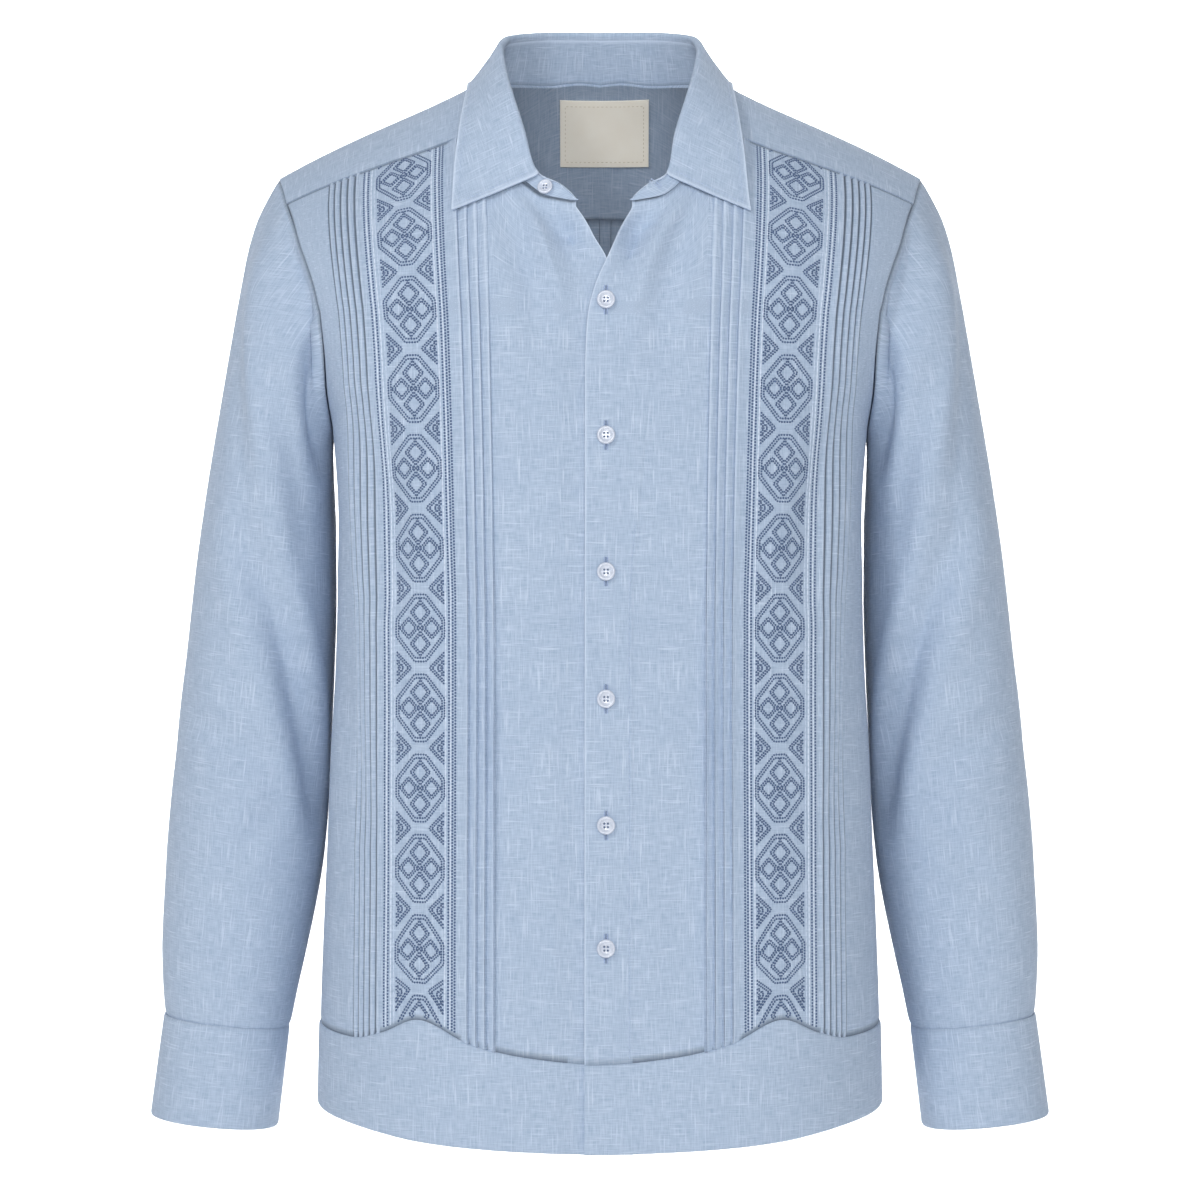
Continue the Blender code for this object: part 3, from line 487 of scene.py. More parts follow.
class Stitches:
    """Collects stitches and joins them into one piece."""

    def __init__(self):
        self.points = []

    def add(self, start, finish, normal, width, height):
        """Stitches from start to finish, each an array of points on the cloth."""
        start, finish, normal = (np.asarray(a, float).reshape(-1, 3) for a in (start, finish, normal))
        side = unit(np.cross(finish - start, normal)) * width / 2
        up = normal * height
        rings = []
        for share, rise, wide in ((0.0, -0.2, 0.4), (0.25, 0.8, 1.0), (0.75, 0.8, 1.0), (1.0, -0.2, 0.4)):
            middle = start + (finish - start) * share
            rings += [middle - side * wide, middle + up * (rise + 0.4), middle + side * wide]
        self.points.append(np.stack(rings, 1).reshape(-1, 3))

    def line(self, sheet, rows, columns, length, gap, width=0.00045, height=0.00035, lift=0.0):
        """Running stitches along a line through rows and columns of a sheet."""
        rows, columns = np.broadcast_arrays(np.asarray(rows, float), np.asarray(columns, float))
        fine = np.linspace(0, len(rows) - 1, len(rows) * 6)
        row = np.interp(fine, np.arange(len(rows)), rows)
        column = np.interp(fine, np.arange(len(rows)), columns)
        run = run_of(sheet.place(row, column)[0][None], 1)[0]
        count = int(run[-1] / (length + gap))
        if count < 1:
            return
        starts = (np.arange(count) + 0.5) * run[-1] / count - length / 2
        ends = [sheet.place(np.interp(d, run, row), np.interp(d, run, column), lift) for d in (starts, starts + length)]
        self.add(ends[0][0], ends[1][0], unit(ends[0][1] + ends[1][1]), width, height)

    def piece(self, name, finish, mirror=False, node=None):
        points = np.concatenate(self.points)
        count = len(points) // 12
        faces = (BAR[None] + np.arange(count)[:, None, None] * 12).reshape(-1, 4)
        if mirror:
            points, faces = points * np.array([-1, 1, 1]), faces[:, ::-1]
        made = add_mesh(name, points, faces.tolist())
        print(name, "has", count, "stitches and", count * 18, "triangles")
        return show(made, finish, node)


def thread(name, dark, light):
    g = Graph(name)
    place = g.node("ShaderNodeTexCoord", None, None, 3)
    grain = g.noise(place, 700.0)
    colour = g.mix(grain, seen(*dark), seen(*light))
    return g.finish(bump=grain, strength=0.3, distance=0.0002, Base_Color=colour, Roughness=0.6 - grain * 0.1, Sheen_Weight=0.2)


SEWING = thread("sewing_thread", (150, 170, 203), (196, 211, 234))
# Dark blue thread: its darkness is partly the embroidery's own colour and partly painted shade of the needle holes
# beside each stitch. The same finish paints the shade in the buttonhole slits.
DARK_THREAD_AND_PAINTED_SHADE = thread("embroidery_thread_and_painted_shade", (50, 72, 110), (84, 108, 146))
PALE = thread("pale_thread", (196, 211, 234), (226, 235, 248))
print("threads ready")

# %% [markdown]
# ## Soft folds
# Worn cloth hangs in a few uneven folds. Each fold is a line on a flat map of the panel, with its own depth
# and width, and a low ridge on both sides. A trough is only a few millimetres deep, but it catches the light.

# %% Folds
def folds_at(u, v, folds):
    """How far the cloth moves at places on a flat map."""
    push = np.zeros(np.shape(u))
    for start, end, depth, width, bend in folds:
        way = np.array(end) - np.array(start)
        length = float(np.hypot(*way))
        share = ((u - start[0]) * way[0] + (v - start[1]) * way[1]) / length**2
        inside = np.clip(share, 0, 1)
        away = ((u - start[0]) * way[1] - (v - start[1]) * way[0]) / length - bend * np.sin(math.pi * inside)
        distance = np.hypot(away, (share - inside) * length) / width
        taper = np.sin(math.pi * np.clip(0.06 + inside * 0.88, 0, 1)) ** 0.7
        push -= depth * taper * (np.exp(-(distance**2)) - 0.3 * np.exp(-((distance - 1.9) ** 2) / 0.7))
    return push


# From, to, depth, width and bend, by distance from the centre and height.
FRONT_FOLDS = (
    ((0.044, -0.066), (0.010, -0.136), 0.0100, 0.0075, 0.003),
    ((0.058, -0.085), (0.036, -0.175), 0.0036, 0.0090, 0.003),
    ((0.150, -0.215), (0.128, -0.330), 0.0028, 0.0110, 0.006),
    ((0.160, -0.330), (0.150, -0.470), 0.0020, 0.0090, -0.004),
    ((0.058, -0.400), (0.050, -0.590), 0.0010, 0.0110, 0.003),
)
BACK_FOLDS = (
    ((0.060, -0.120), (0.085, -0.340), 0.0028, 0.0130, 0.008),
    ((-0.075, -0.150), (-0.060, -0.400), 0.0024, 0.0140, -0.006),
    ((0.130, -0.250), (0.080, -0.380), 0.0030, 0.0120, 0.004),
    ((-0.125, -0.230), (-0.100, -0.520), 0.0026, 0.0150, -0.006),
)


def hang(points):
    """Slow waves that grow towards the hem, and only ever draw the cloth in."""
    x, y, z = points[..., 0], points[..., 1], points[..., 2]
    around = np.arctan2(y, np.abs(x) * 0.75)
    wave = 0.5 + 0.5 * np.sin(5 * around + 2.0 + 3.0 * z) * np.cos(2 * around - 9 * z)
    return -0.0030 * wave * ease((-0.25 - z) / 0.30) * ease((0.178 - np.abs(x)) / 0.03)


print(len(FRONT_FOLDS), "folds on each front and", len(BACK_FOLDS), "on the back")

# %% [markdown]
# ## The fronts
# A front's columns start at its edge, cross the placket, and then follow four pintucks, the stitched band and
# five more pintucks. A pintuck is a narrow fold that leans away from the band, so its edge overhangs a thin
# dark line, which is partly its own shadow and partly painted shade. Painted highlight lightens the crests.
# Towards the yoke the columns spread, as the cloth opens over the chest.

# %% Front columns
PLACKET = Table(
    "low top", (0.0003, 0.0360), (0.0200, 0.0520), (0.0400, 0.0625), (0.0575, 0.0695), (0.0640, 0.0714)
)
# In these tuck profiles, where the lift drops below zero the cloth's colour is also darkened with painted shade.
OUTER_TUCK = ((-0.0024, 0), (-0.0018, -0.0006), (-0.0007, -0.0007), (-0.0002, 0.0002), (0.0001, 0.0008), (0.0007, 0.0011), (0.0020, 0.0007))
TUCK = ((-0.0009, 0), (-0.0001, -0.0003), (-0.0005, 0.0005), (-0.0004, 0.0010), (0.0002, 0.0013), (0.0014, 0.0010), (0.0030, 0.0005))
ROUND = np.linspace(0, 0.17, 1701)
ROUND_RUN = run_of(on_body(ROUND, -0.364, -1)[None], 1)[0]
INNER_TUCKS = [0.0652 + k * 0.0054 for k in range(4)]
OUTER_TUCKS = [float(np.interp(np.interp(0.1345, ROUND, ROUND_RUN) + (k + 0.9) * 0.0056, ROUND_RUN, ROUND)) for k in range(5)]


def front_columns():
    """Distance from the centre and relief of the columns from the placket to the last tuck."""
    columns = [(x, 0.0003) for x in np.arange(0.0003, 0.0186, 0.0018)]
    columns += [(0.0192, 0.0003), (0.0196, 0.0003), (0.0201, 0.0)]
    columns += [(x, 0.0) for x in np.linspace(0.0215, 0.0635, 22)]
    for edge in INNER_TUCKS:
        columns += [(edge + aside, lift) for aside, lift in TUCK]
    columns += [(x, 0.0) for x in np.linspace(0.0872, 0.1365, 27)]
    for edge in OUTER_TUCKS:
        run = np.interp(edge, ROUND, ROUND_RUN)
        columns += [(float(np.interp(run - aside, ROUND_RUN, ROUND)), lift) for aside, lift in OUTER_TUCK[::-1]]
    return np.array(columns).T


LOWS, RELIEF = front_columns()
TOPS = np.where(LOWS < 0.064, PLACKET("top", LOWS), LOWS * 1.115)
EDGE_PARTS = np.array([0, 0.04, 0.12, 0.3, 0.5, 0.75])
SIDE_PARTS = np.linspace(0, 1, 27)[1:]
HEIGHTS = np.concatenate([np.linspace(-0.6, -0.5, 25), np.linspace(-0.496, -0.226, 66), UNDERARM + 0.072 * np.linspace(0, 1, 29) ** 2])
HIGH = np.linspace(0, 1, 33)[1:] ** 0.75
OPENING_OUT = Table("height share", (-0.330, 0.0), (-0.220, 0.27), (-0.150, 0.52), (-0.090, 1.0), (-0.060, 1.0))
FRONT_EDGES = Table(
    "height left right",
    (-0.675, -0.0097, -0.0200),
    (-0.192, -0.0092, -0.0200),
    (-0.159, -0.0079, -0.0150),
    (-0.139, -0.0036, -0.0090),
    (-0.1194, 0.0046, -0.0040),
    (-0.106, 0.0108, 0.0040),
    (-0.097, 0.0151, 0.0089),
    (-0.087, 0.0200, 0.0150),
)
ARMHOLE_LOW = Table(
    "height front back",
    (-0.2220, 0.1720, 0.1720),
    (-0.2130, 0.1728, 0.1730),
    (-0.2000, 0.1737, 0.1745),
    (-0.1800, 0.1742, 0.1763),
    (-0.1500, 0.1765, 0.1805),
)
ARMHOLE_HIGH = Table(
    "angle across",
    (-90, 0.1765),
    (-78, 0.1798),
    (-68, 0.1846),
    (-58, 0.1905),
    (-47, 0.1955),
    (-32, 0.2020),
    (0, 0.2085),
    (32, 0.2035),
    (50, 0.1985),
    (60, 0.1945),
    (70, 0.1900),
    (90, 0.1805),
)
HEM_FRONT = Table(
    "across seam edge",
    (-0.020, -0.6160, -0.6705),
    (0.000, -0.6158, -0.6705),
    (0.045, -0.6115, -0.6690),
    (0.080, -0.6035, -0.6670),
    (0.1125, -0.5895, -0.6640),
    (0.135, -0.5985, -0.6605),
    (0.155, -0.6035, -0.6570),
    (0.181, -0.6010, -0.6520),
)
HEM_BACK = Table("across seam edge", (0.0, -0.6120, -0.6660), (0.100, -0.6080, -0.6620), (0.181, -0.6010, -0.6520))
YOKE_FRONT = -36.0
# Where the neck seam meets the form, from the centre back round to the front end.
NECK = Table(
    "turn across angle",
    (0, 0.0000, 34.0),
    (25, 0.0300, 31.0),
    (50, 0.0550, 21.0),
    (70, 0.0715, 11.0),
    (90, 0.0785, 0.0),
    (105, 0.0755, -20.0),
    (120, 0.0695, -36.0),
    (135, 0.0625, -46.0),
    (150, 0.0520, -54.5),
    (160, 0.0360, -61.2),
    (170, 0.0240, -62.8),
    (175, 0.0175, -63.5),
)
print(len(LOWS) + len(EDGE_PARTS) + len(SIDE_PARTS), "columns by", len(HEIGHTS) + len(HIGH), "rows")


# %% Front panels
def neck_angle(across):
    """Angle round the ridge of the front neck seam at a distance from the centre."""
    turns = np.linspace(175, 105, 141)
    return np.interp(across, NECK("across", turns), NECK("angle", turns))


def side_points(inner, heights, side, outer):
    """The columns from the last fixed one to the side seam or the armhole, spaced by their depth."""
    first = rim(inner, heights)[:, None]
    last = np.where(heights > UNDERARM, rim(outer, heights), 0.0)[:, None]
    return across_from_rim(between(first, last, SIDE_PARTS), heights[:, None])


def fall(heights, across, table):
    """Heights of the low rows, which bend down to meet the hem seam."""
    low = between(table("seam", across), -0.5, (heights + 0.6) / 0.1)
    return np.where(heights < -0.5, low, heights)


def front_form(hand):
    shift = 0.0025 if hand == "left" else -0.0025
    z = HEIGHTS[:, None]
    share = OPENING_OUT("share", z)
    fixed = between(LOWS, TOPS, share)
    edge = FRONT_EDGES(hand, z)
    edges = between(edge, fixed[:, :1], EDGE_PARTS)
    outer = ARMHOLE_LOW("front", HEIGHTS)
    sides = side_points(fixed[:, -1], HEIGHTS, -1, outer)
    across = np.concatenate([edges, fixed, sides], axis=1)
    body = on_body(across, fall(z, across, HEM_FRONT), -1)
    low = HEIGHTS <= UNDERARM + 1e-9
    body[low, -1, 1] = 0.0
    reach = (sides[-1] - fixed[-1, -1]) / (sides[-1, -1] - fixed[-1, -1])
    high = HIGH[:, None]
    share = OPENING_OUT("share", between(CHEST_TOP, -0.085, high))
    end = 0.0175 + shift
    edge_angle = between(-90, neck_angle(end), high)
    edge = FRONT_EDGES(hand, on_shoulder(0.01, edge_angle)[..., 2])
    edge[-1] = end
    fixed = between(LOWS, TOPS, share)
    edges = between(edge, fixed[:, :1], EDGE_PARTS)
    limits = neck_angle(between(end, TOPS[0], EDGE_PARTS))
    limits = np.concatenate([limits, np.where(TOPS < 0.0695, neck_angle(TOPS), YOKE_FRONT)])
    shoulder = on_shoulder(np.concatenate([edges, fixed], axis=1), between(-90, limits, high))
    angle = between(-90, YOKE_FRONT, high)
    sides = between(fixed[:, -1:], ARMHOLE_HIGH("across", angle), reach)
    return np.concatenate([body, np.concatenate([shoulder, on_shoulder(sides, angle)], axis=1)])


def closure_drop(form):
    """How far the right front sits behind the left one."""
    return -0.0021 * (1 - ease((form[..., 0] - 0.012) / 0.020)) * (1 - ease((form[..., 2] + 0.115) / 0.027))


def body_grain(sheet, fixed=0):
    """The cloth's lengthways threads follow the columns, and its crosswise threads lie level."""
    middle = int(np.argmin(np.abs(HEIGHTS + 0.364)))
    column = sheet.form.shape[1] // 2
    rise = np.where(sheet.form[..., 2] < -0.15, sheet.form[..., 2], 0.0)
    high = sheet.along[:, column : column + 1] - sheet.along[len(HEIGHTS) - 1, column] - 0.15
    body = np.arange(len(sheet.form))[:, None] < len(HEIGHTS)
    run = run_of(sheet.grid[middle : middle + 1], 1)[0]
    spread = np.zeros(sheet.form.shape[:2])
    if fixed:
        spread = sheet.form[..., 0] - sheet.form[middle, :, 0]
        spread[:, fixed:] = spread[:, fixed - 1 : fixed]
    return run + spread, np.where(body, rise, high)


# A real groove in the relief along the named borders; through the sheet's attribute its colour is also darkened with
# painted shade.
def seam_groove(sheet, *sides, depth=0.0007, width=0.0014):
    return -depth * np.exp(-((sheet.border(*sides) / width) ** 2))


FRONTS = {}
FIRST = len(EDGE_PARTS)
for hand in ("left", "right"):
    sheet = Sheet(front_form(hand))
    place = sheet.form
    closed = (1 - ease((place[..., 0] - 0.008) / 0.014)) * (1 - ease((place[..., 2] + 0.125) / 0.03))
    near_seam = ease(sheet.border("top") / 0.022)
    push = hang(place) + folds_at(place[..., 0], place[..., 2], FRONT_FOLDS) * (1 - closed) * near_seam
    sheet.push(push + (closure_drop(place) if hand == "right" else 0.0))
    relief = np.concatenate([np.full(len(EDGE_PARTS), 0.0003), RELIEF, np.zeros(len(SIDE_PARTS))])
    relief[0] = 0.0
    # Painted highlight on the tuck crests and along the front's edge.
    crest = np.clip((relief - 0.0010) / 0.0002, 0, 1) * 0.6 + np.exp(-((sheet.border("first") / 0.0008) ** 2))
    flat = np.arange(len(relief)) < len(EDGE_PARTS) + 14
    fade = np.where(flat, ease((-0.17 - place[:, :1, 2]) / 0.08), 1.0)
    sheet.relief(relief * fade + seam_groove(sheet, "top", "last", "bottom", depth=0.0006, width=0.0009))
    FRONTS[hand] = sheet
    cloth_piece("front_" + hand, sheet, LINEN, mirror=hand == "right", grain=body_grain(sheet, FIRST + len(LOWS)), painted_highlight=crest)
print("front", FLAT["front_left"])

# %% [markdown]
# ## The back and the yoke
# The back is one panel with four narrow tucks at its centre. The yoke goes over both shoulders in one piece.
# Its rows run from the outer seams in to the neck, so its weave turns with it.

# %% Back and yoke
def yoke_back(across):
    return 66.5 - 6.5 * (across / 0.2) ** 2


def back_form():
    edges = [0.0032 + (k - 1.5) * 0.0078 for k in range(4)]
    middle = [(x, 0.0) for x in np.linspace(-0.0290, -0.0115, 9)]
    for edge in edges:
        middle += [(edge - aside, lift) for aside, lift in TUCK[::-1]]
    middle += [(x, 0.0) for x in np.linspace(0.0185, 0.0290, 6)]
    middle = np.array(middle)[::-1]
    flat = np.linspace(0.0310, 0.1400, 38)
    half = np.broadcast_to(flat, (len(HEIGHTS), len(flat)))
    sides = side_points(half[:, -1], HEIGHTS, 1, ARMHOLE_LOW("back", HEIGHTS))
    half = np.concatenate([half, sides], axis=1)
    core = np.broadcast_to(middle[:, 0], (len(HEIGHTS), len(middle)))
    across = np.concatenate([half[:, ::-1], core, -half], axis=1)
    body = on_body(across, fall(HEIGHTS[:, None], np.abs(across), HEM_BACK), 1)
    low = HEIGHTS <= UNDERARM + 1e-9
    body[low, 0, 1] = 0.0
    body[low, -1, 1] = 0.0
    reach = (sides[-1] - flat[-1]) / (sides[-1, -1] - flat[-1])
    high = np.linspace(0, 1, 15)[1:, None]
    edge = between(90, yoke_back(0.1945), high)
    outer = between(flat[-1], ARMHOLE_HIGH("across", edge), reach)
    half = np.concatenate([np.broadcast_to(flat, (len(high), len(flat))), outer], axis=1)
    core = np.broadcast_to(middle[:, 0], (len(high), len(middle)))
    across = np.concatenate([half[:, ::-1], core, -half], axis=1)
    top = on_shoulder(across, between(90, yoke_back(np.abs(across)), high))
    relief = np.concatenate([np.zeros(half.shape[1]), middle[:, 1], np.zeros(half.shape[1])])
    return np.concatenate([body, top]), relief


form, relief = back_form()
BACK = Sheet(form)
BACK.push(hang(form) + folds_at(form[..., 0], form[..., 2], BACK_FOLDS))
BACK.relief(relief + seam_groove(BACK, "top", "first", "last", "bottom"))
# Painted shade on the back's inner side: all of it darkened, and most along its top seam and its tucks.
lines = np.maximum(np.exp(-((BACK.border("top") / 0.0010) ** 2)), np.clip(-relief / 0.0003, 0, 1))
lines = 0.4 + lines * 0.6
cloth_piece("back", BACK, LINEN, grain=body_grain(BACK), inside=np.clip(-relief, 0, 1) * 3, inner=lines)


def yoke_form():
    corner = float(yoke_back(0.1945))
    angles = np.linspace(YOKE_FRONT, corner, 34)
    turns = np.interp(angles, (-36, -18, 0, 20, 40, corner), (120, 105, 90, 80, 70, 60))
    edge = ARMHOLE_HIGH("across", angles)
    backs = np.linspace(float(edge[-1]), 0, 56)[1:]
    back_turns = np.interp(backs, (0, 0.0155, 0.030, 0.058, 0.090, 0.122, float(edge[-1])), (0, 7, 14, 24, 34, 42, 60))
    turns = np.concatenate([turns, back_turns])
    far_across = np.concatenate([edge, backs])
    far_angle = np.concatenate([angles, yoke_back(backs)])
    steps = np.concatenate([[0, 0.006, 0.018], np.linspace(0.045, 1, 34)])[:, None]
    across = between(far_across, NECK("across", turns), steps)
    angle = between(far_angle, NECK("angle", turns), steps)
    left = on_shoulder(across, angle)
    over = np.linspace(-40, 70, 111)
    run = run_of(on_shoulder(0.12, over)[None], 1)[0]
    level = np.interp(angle, over, run)
    grain = (np.concatenate([across, -across[:, -2::-1]], axis=1) * 1.12, np.concatenate([level, level[:, -2::-1]], axis=1))
    return np.concatenate([left, left[:, -2::-1] * np.array([-1, 1, 1])], axis=1), grain


form, yoke_grain = yoke_form()
YOKE = Sheet(form)
inset = YOKE.border("bottom")
YOKE.relief(0.0006 - 0.0005 * np.exp(-((inset / 0.0006) ** 2)))
# Painted shade on the yoke's inner side, darkest along its bottom seam.
seam = 0.4 + 0.6 * np.exp(-((inset / 0.0012) ** 2))
cloth_piece("yoke", YOKE, LINEN, grain=yoke_grain, thickness=CLOTH * 1.9, inner=seam)
print("back", FLAT["back"], "yoke", FLAT["yoke"])

# %% [markdown]
# ## Hem bands
# The bands are turned up on the outside and rise to a point under each stitched band. They stand a little
# proud, so the seam reads as a thin dark line, partly the step's own shadow and partly painted shade in the
# groove along the panel's edge above.

# %% Hem bands
def hem_sheet(sheet, table, side, drop):
    """A band on the panel's own columns, from its free edge up to its seam."""
    foot = sheet.form[0]
    keep, last = [], None
    for number, place in enumerate(foot[:, 0]):
        if last is None or (place - last) * (1 if side < 0 else -1) > 0.0004:
            keep.append(number)
            last = place
    keep[-1] = len(foot) - 1
    x, z = foot[keep, 0], foot[keep, 2]
    shares = np.concatenate([[1, 0.985, 0.95], np.linspace(0.88, 0.12, 13), [0.05, 0.02, 0]])[:, None]
    place = x if side < 0 else np.abs(x)
    height = between(table("seam", place), table("edge", place), shares)
    wider = TORSO("breadth", height) / TORSO("breadth", z)
    form = on_body(x * between(1.0, wider, ease((np.abs(x) - 0.12) / 0.05)), height, side)
    seam = np.abs(foot[keep, 1]) < 1e-9
    form[:, seam, 0] = np.sign(x[seam]) * TORSO("breadth", height[:, seam])
    form[:, seam, 1] = 0.0
    band = Sheet(form)
    push = hang(form) + (closure_drop(form) if drop else 0.0)
    band.push(push)
    edge = np.exp(-((band.border("top", "bottom") / 0.0006) ** 2))
    return band.relief(0.0009 - 0.0006 * edge)


HEMS = {"left": hem_sheet(FRONTS["left"], HEM_FRONT, -1, False), "right": hem_sheet(FRONTS["right"], HEM_FRONT, -1, True)}
HEMS["back"] = hem_sheet(BACK, HEM_BACK, 1, False)
for name, band in HEMS.items():
    name = "hem_back" if name == "back" else "hem_front_" + name
    cloth_piece(name, band, LINEN, mirror=name.endswith("right"), grain=(band.across[0], band.form[..., 2] * 1.01))
print("hem bands", FLAT["hem_front_left"], FLAT["hem_back"])

# %% [markdown]
# ## Sleeves and cuffs
# A sleeve starts as the armhole's own loop and draws in, ring by ring, to a rounded section. Its folds are
# placed on a flat map of height and distance round the arm. The cuff is a strip wound once round the wrist
# and on over its own start.

# %% Sleeves and cuffs
SLEEVE = Table(
    "ring in_x in_z out_x out_z middle depth keep",
    (1, 0.1731, -0.2270, 0.2148, -0.0690, 0.000, 0.0735, 0.90),
    (2, 0.1736, -0.2320, 0.2226, -0.0840, 0.002, 0.0730, 0.70),
    (3, 0.1739, -0.2380, 0.2290, -0.1040, 0.004, 0.0720, 0.50),
    (4, 0.1741, -0.2450, 0.2345, -0.1310, 0.007, 0.0710, 0.32),
    (5, 0.1741, -0.2530, 0.2405, -0.1650, 0.010, 0.0700, 0.18),
    (6, 0.1738, -0.2640, 0.2475, -0.2060, 0.013, 0.0690, 0.08),
    (7, 0.1732, -0.2850, 0.2555, -0.2535, 0.016, 0.0670, 0.00),
    (8, 0.1730, -0.3300, 0.2632, -0.3050, 0.018, 0.0645, 0.00),
    (9, 0.1744, -0.3800, 0.2695, -0.3600, 0.019, 0.0615, 0.00),
    (10, 0.1770, -0.4350, 0.2760, -0.4200, 0.018, 0.0590, 0.00),
    (11, 0.1802, -0.4940, 0.2818, -0.4850, 0.013, 0.0560, 0.00),
    (12, 0.1915, -0.5590, 0.2848, -0.5530, 0.006, 0.0490, 0.00),
    (13, 0.1965, -0.5820, 0.2840, -0.5760, 0.003, 0.0455, 0.00),
    (14, 0.2018, -0.6090, 0.2820, -0.6005, 0.000, 0.0420, 0.00),
)
CUFF = Table(
    "end in_x in_z out_x out_z middle depth",
    (0, 0.2018, -0.6090, 0.2822, -0.6005, 0.000, 0.0422),
    (1, 0.2090, -0.6720, 0.2905, -0.6635, -0.002, 0.0427),
)
# Places are metres round the arm from its outer side, where minus is in front, and height.
SLEEVE_FOLDS = (
    ((-0.072, -0.285), (-0.150, -0.470), 0.0085, 0.0120, 0.006),
    ((-0.058, -0.100), (-0.142, -0.238), 0.0120, 0.0120, 0.004),
    ((-0.036, -0.120), (-0.104, -0.290), -0.0060, 0.0110, 0.004),
    ((-0.030, -0.400), (-0.105, -0.440), 0.0034, 0.0100, 0.004),
    ((-0.115, -0.455), (-0.070, -0.520), 0.0018, 0.0090, 0.000),
    ((0.062, -0.290), (0.105, -0.480), 0.0040, 0.0160, -0.008),
    ((0.120, -0.240), (0.085, -0.400), 0.0034, 0.0120, 0.006),
    ((0.010, -0.470), (0.085, -0.560), 0.0020, 0.0120, 0.004),
)


def armhole():
    """The armhole's edge as an even loop, from the underarm up the front and down the back."""
    low = UNDERARM + 0.072 * np.linspace(0, 1, 60) ** 2
    front = on_body(ARMHOLE_LOW("front", low), low, -1)
    over = np.linspace(-90, 90, 181)[1:-1]
    top = on_shoulder(ARMHOLE_HIGH("across", over), over)
    rear = on_body(ARMHOLE_LOW("back", low), low, 1)[::-1]
    front[0, 1] = rear[-1, 1] = 0.0
    line = np.concatenate([front, top, rear])
    run = run_of(line[None], 1)[0]
    even = np.linspace(0, run[-1], 115)
    return np.stack([np.interp(even, run, line[:, k]) for k in range(3)], -1)


def sleeve_form():
    inner, outer = np.array([0.172, -0.222]), np.array([0.2085, -0.0585])
    middle, along = (inner + outer) / 2, (outer - inner) / 2
    away = np.array([along[1], -along[0]]) / np.linalg.norm(along)
    loop = armhole()
    place = loop[:, [0, 2]] - middle
    a, b, off = place @ along / (along @ along), loop[:, 1] / 0.0735, place @ away
    turn = np.arctan2(np.sign(b) * np.abs(b) ** 1.1, np.sign(a) * np.abs(a) ** 1.1)
    turn[0], turn[-1] = -math.pi, math.pi
    c = np.sign(np.cos(turn)) * np.abs(np.cos(turn)) ** (1 / 1.1)
    s = np.sign(np.sin(turn)) * np.abs(np.sin(turn)) ** (1 / 1.1)
    s[0] = s[-1] = 0.0
    first = loop + np.array([away[0], 0, away[1]]) * 0.0003

    def ring(number):
        row = {key: SLEEVE(key, number) for key in SLEEVE.columns}
        start, end = np.array([row["in_x"], row["in_z"]]), np.array([row["out_x"], row["out_z"]])
        centre, reach = (start + end) / 2, (end - start) / 2
        across = np.array([reach[1], -reach[0]]) / np.linalg.norm(reach)
        flat = centre + reach * between(c, a, row["keep"])[:, None] + across * (off * row["keep"])[:, None]
        y = row["middle"] + row["depth"] * between(s, b, row["keep"])
        return np.stack([flat[:, 0], y, flat[:, 1]], -1)

    numbers = np.linspace(1, 14, 521)
    lengths = np.stack([SLEEVE("out_x", numbers) + SLEEVE("in_x", numbers), SLEEVE("out_z", numbers) + SLEEVE("in_z", numbers)], -1)
    run = run_of(np.concatenate([lengths / 2, np.zeros((521, 1))], -1)[None], 1)[0]
    even = np.interp(np.linspace(0, run[-1], 126), run, numbers)
    rings = [between(first, ring(1.0), k / 4) for k in range(4)] + [ring(n) for n in even]
    return np.array(rings), np.degrees(turn)


form, degrees = sleeve_form()
SLEEVES = Sheet(form, closed=True, flip=True)
push = sum(folds_at(np.radians(degrees) * 0.056 + lap + form[..., 2] * 0, form[..., 2], SLEEVE_FOLDS) for lap in (-0.352, 0.0, 0.352))
SLEEVES.push(push * ease(SLEEVES.border("bottom", "top") / 0.008))
tucked = SLEEVES.along[-1:] - SLEEVES.along
SLEEVES.push(-0.0012 * np.exp(-((tucked / 0.003) ** 2)))
SLEEVES.relief(seam_groove(SLEEVES, "bottom", depth=0.0005, width=0.0010))
arm_grain = (SLEEVES.across[70], SLEEVES.form[..., 2] * -1.01 + SLEEVES.form[..., 0] * 0.15)
cloth_piece("sleeve_left", SLEEVES, LINEN, grain=arm_grain)
cloth_piece("sleeve_right", SLEEVES, LINEN, mirror=True, grain=arm_grain)


def cuff_form():
    shares = np.concatenate([[1, 0.985, 0.95], np.linspace(0.9, 0.1, 14), [0.05, 0.015, -0.02]])
    turned = np.linspace(0, 386, 131)
    around = np.radians(96 + turned)
    c = np.sign(np.cos(around)) * np.abs(np.cos(around)) ** (1 / 1.1)
    s = np.sign(np.sin(around)) * np.abs(np.sin(around)) ** (1 / 1.1)
    outset = 0.0019 * (turned / 360 - 0.5)
    rows = []
    for share in shares:
        row = {key: CUFF(key, share) for key in CUFF.columns}
        start, end = np.array([row["in_x"], row["in_z"]]), np.array([row["out_x"], row["out_z"]])
        if share < 0:
            start, end = start + np.array([-0.0001, 0.0013]), end + np.array([0, 0.0013])
        centre, reach = (start + end) / 2, (end - start) / 2
        flat = centre + reach * (c * (1 + outset / np.linalg.norm(reach)))[:, None]
        rows.append(np.stack([flat[:, 0], row["middle"] + (row["depth"] + outset) * s, flat[:, 1]], -1))
    return np.array(rows)


CUFFS = Sheet(cuff_form())
CUFFS.relief(0.0004 - 0.0005 * np.exp(-((CUFFS.border("top", "bottom") / 0.0006) ** 2)))
cloth_piece("cuff_left", CUFFS, LINEN)
cloth_piece("cuff_right", CUFFS, LINEN, mirror=True)
print("sleeve", FLAT["sleeve_left"], "cuff", FLAT["cuff_left"])

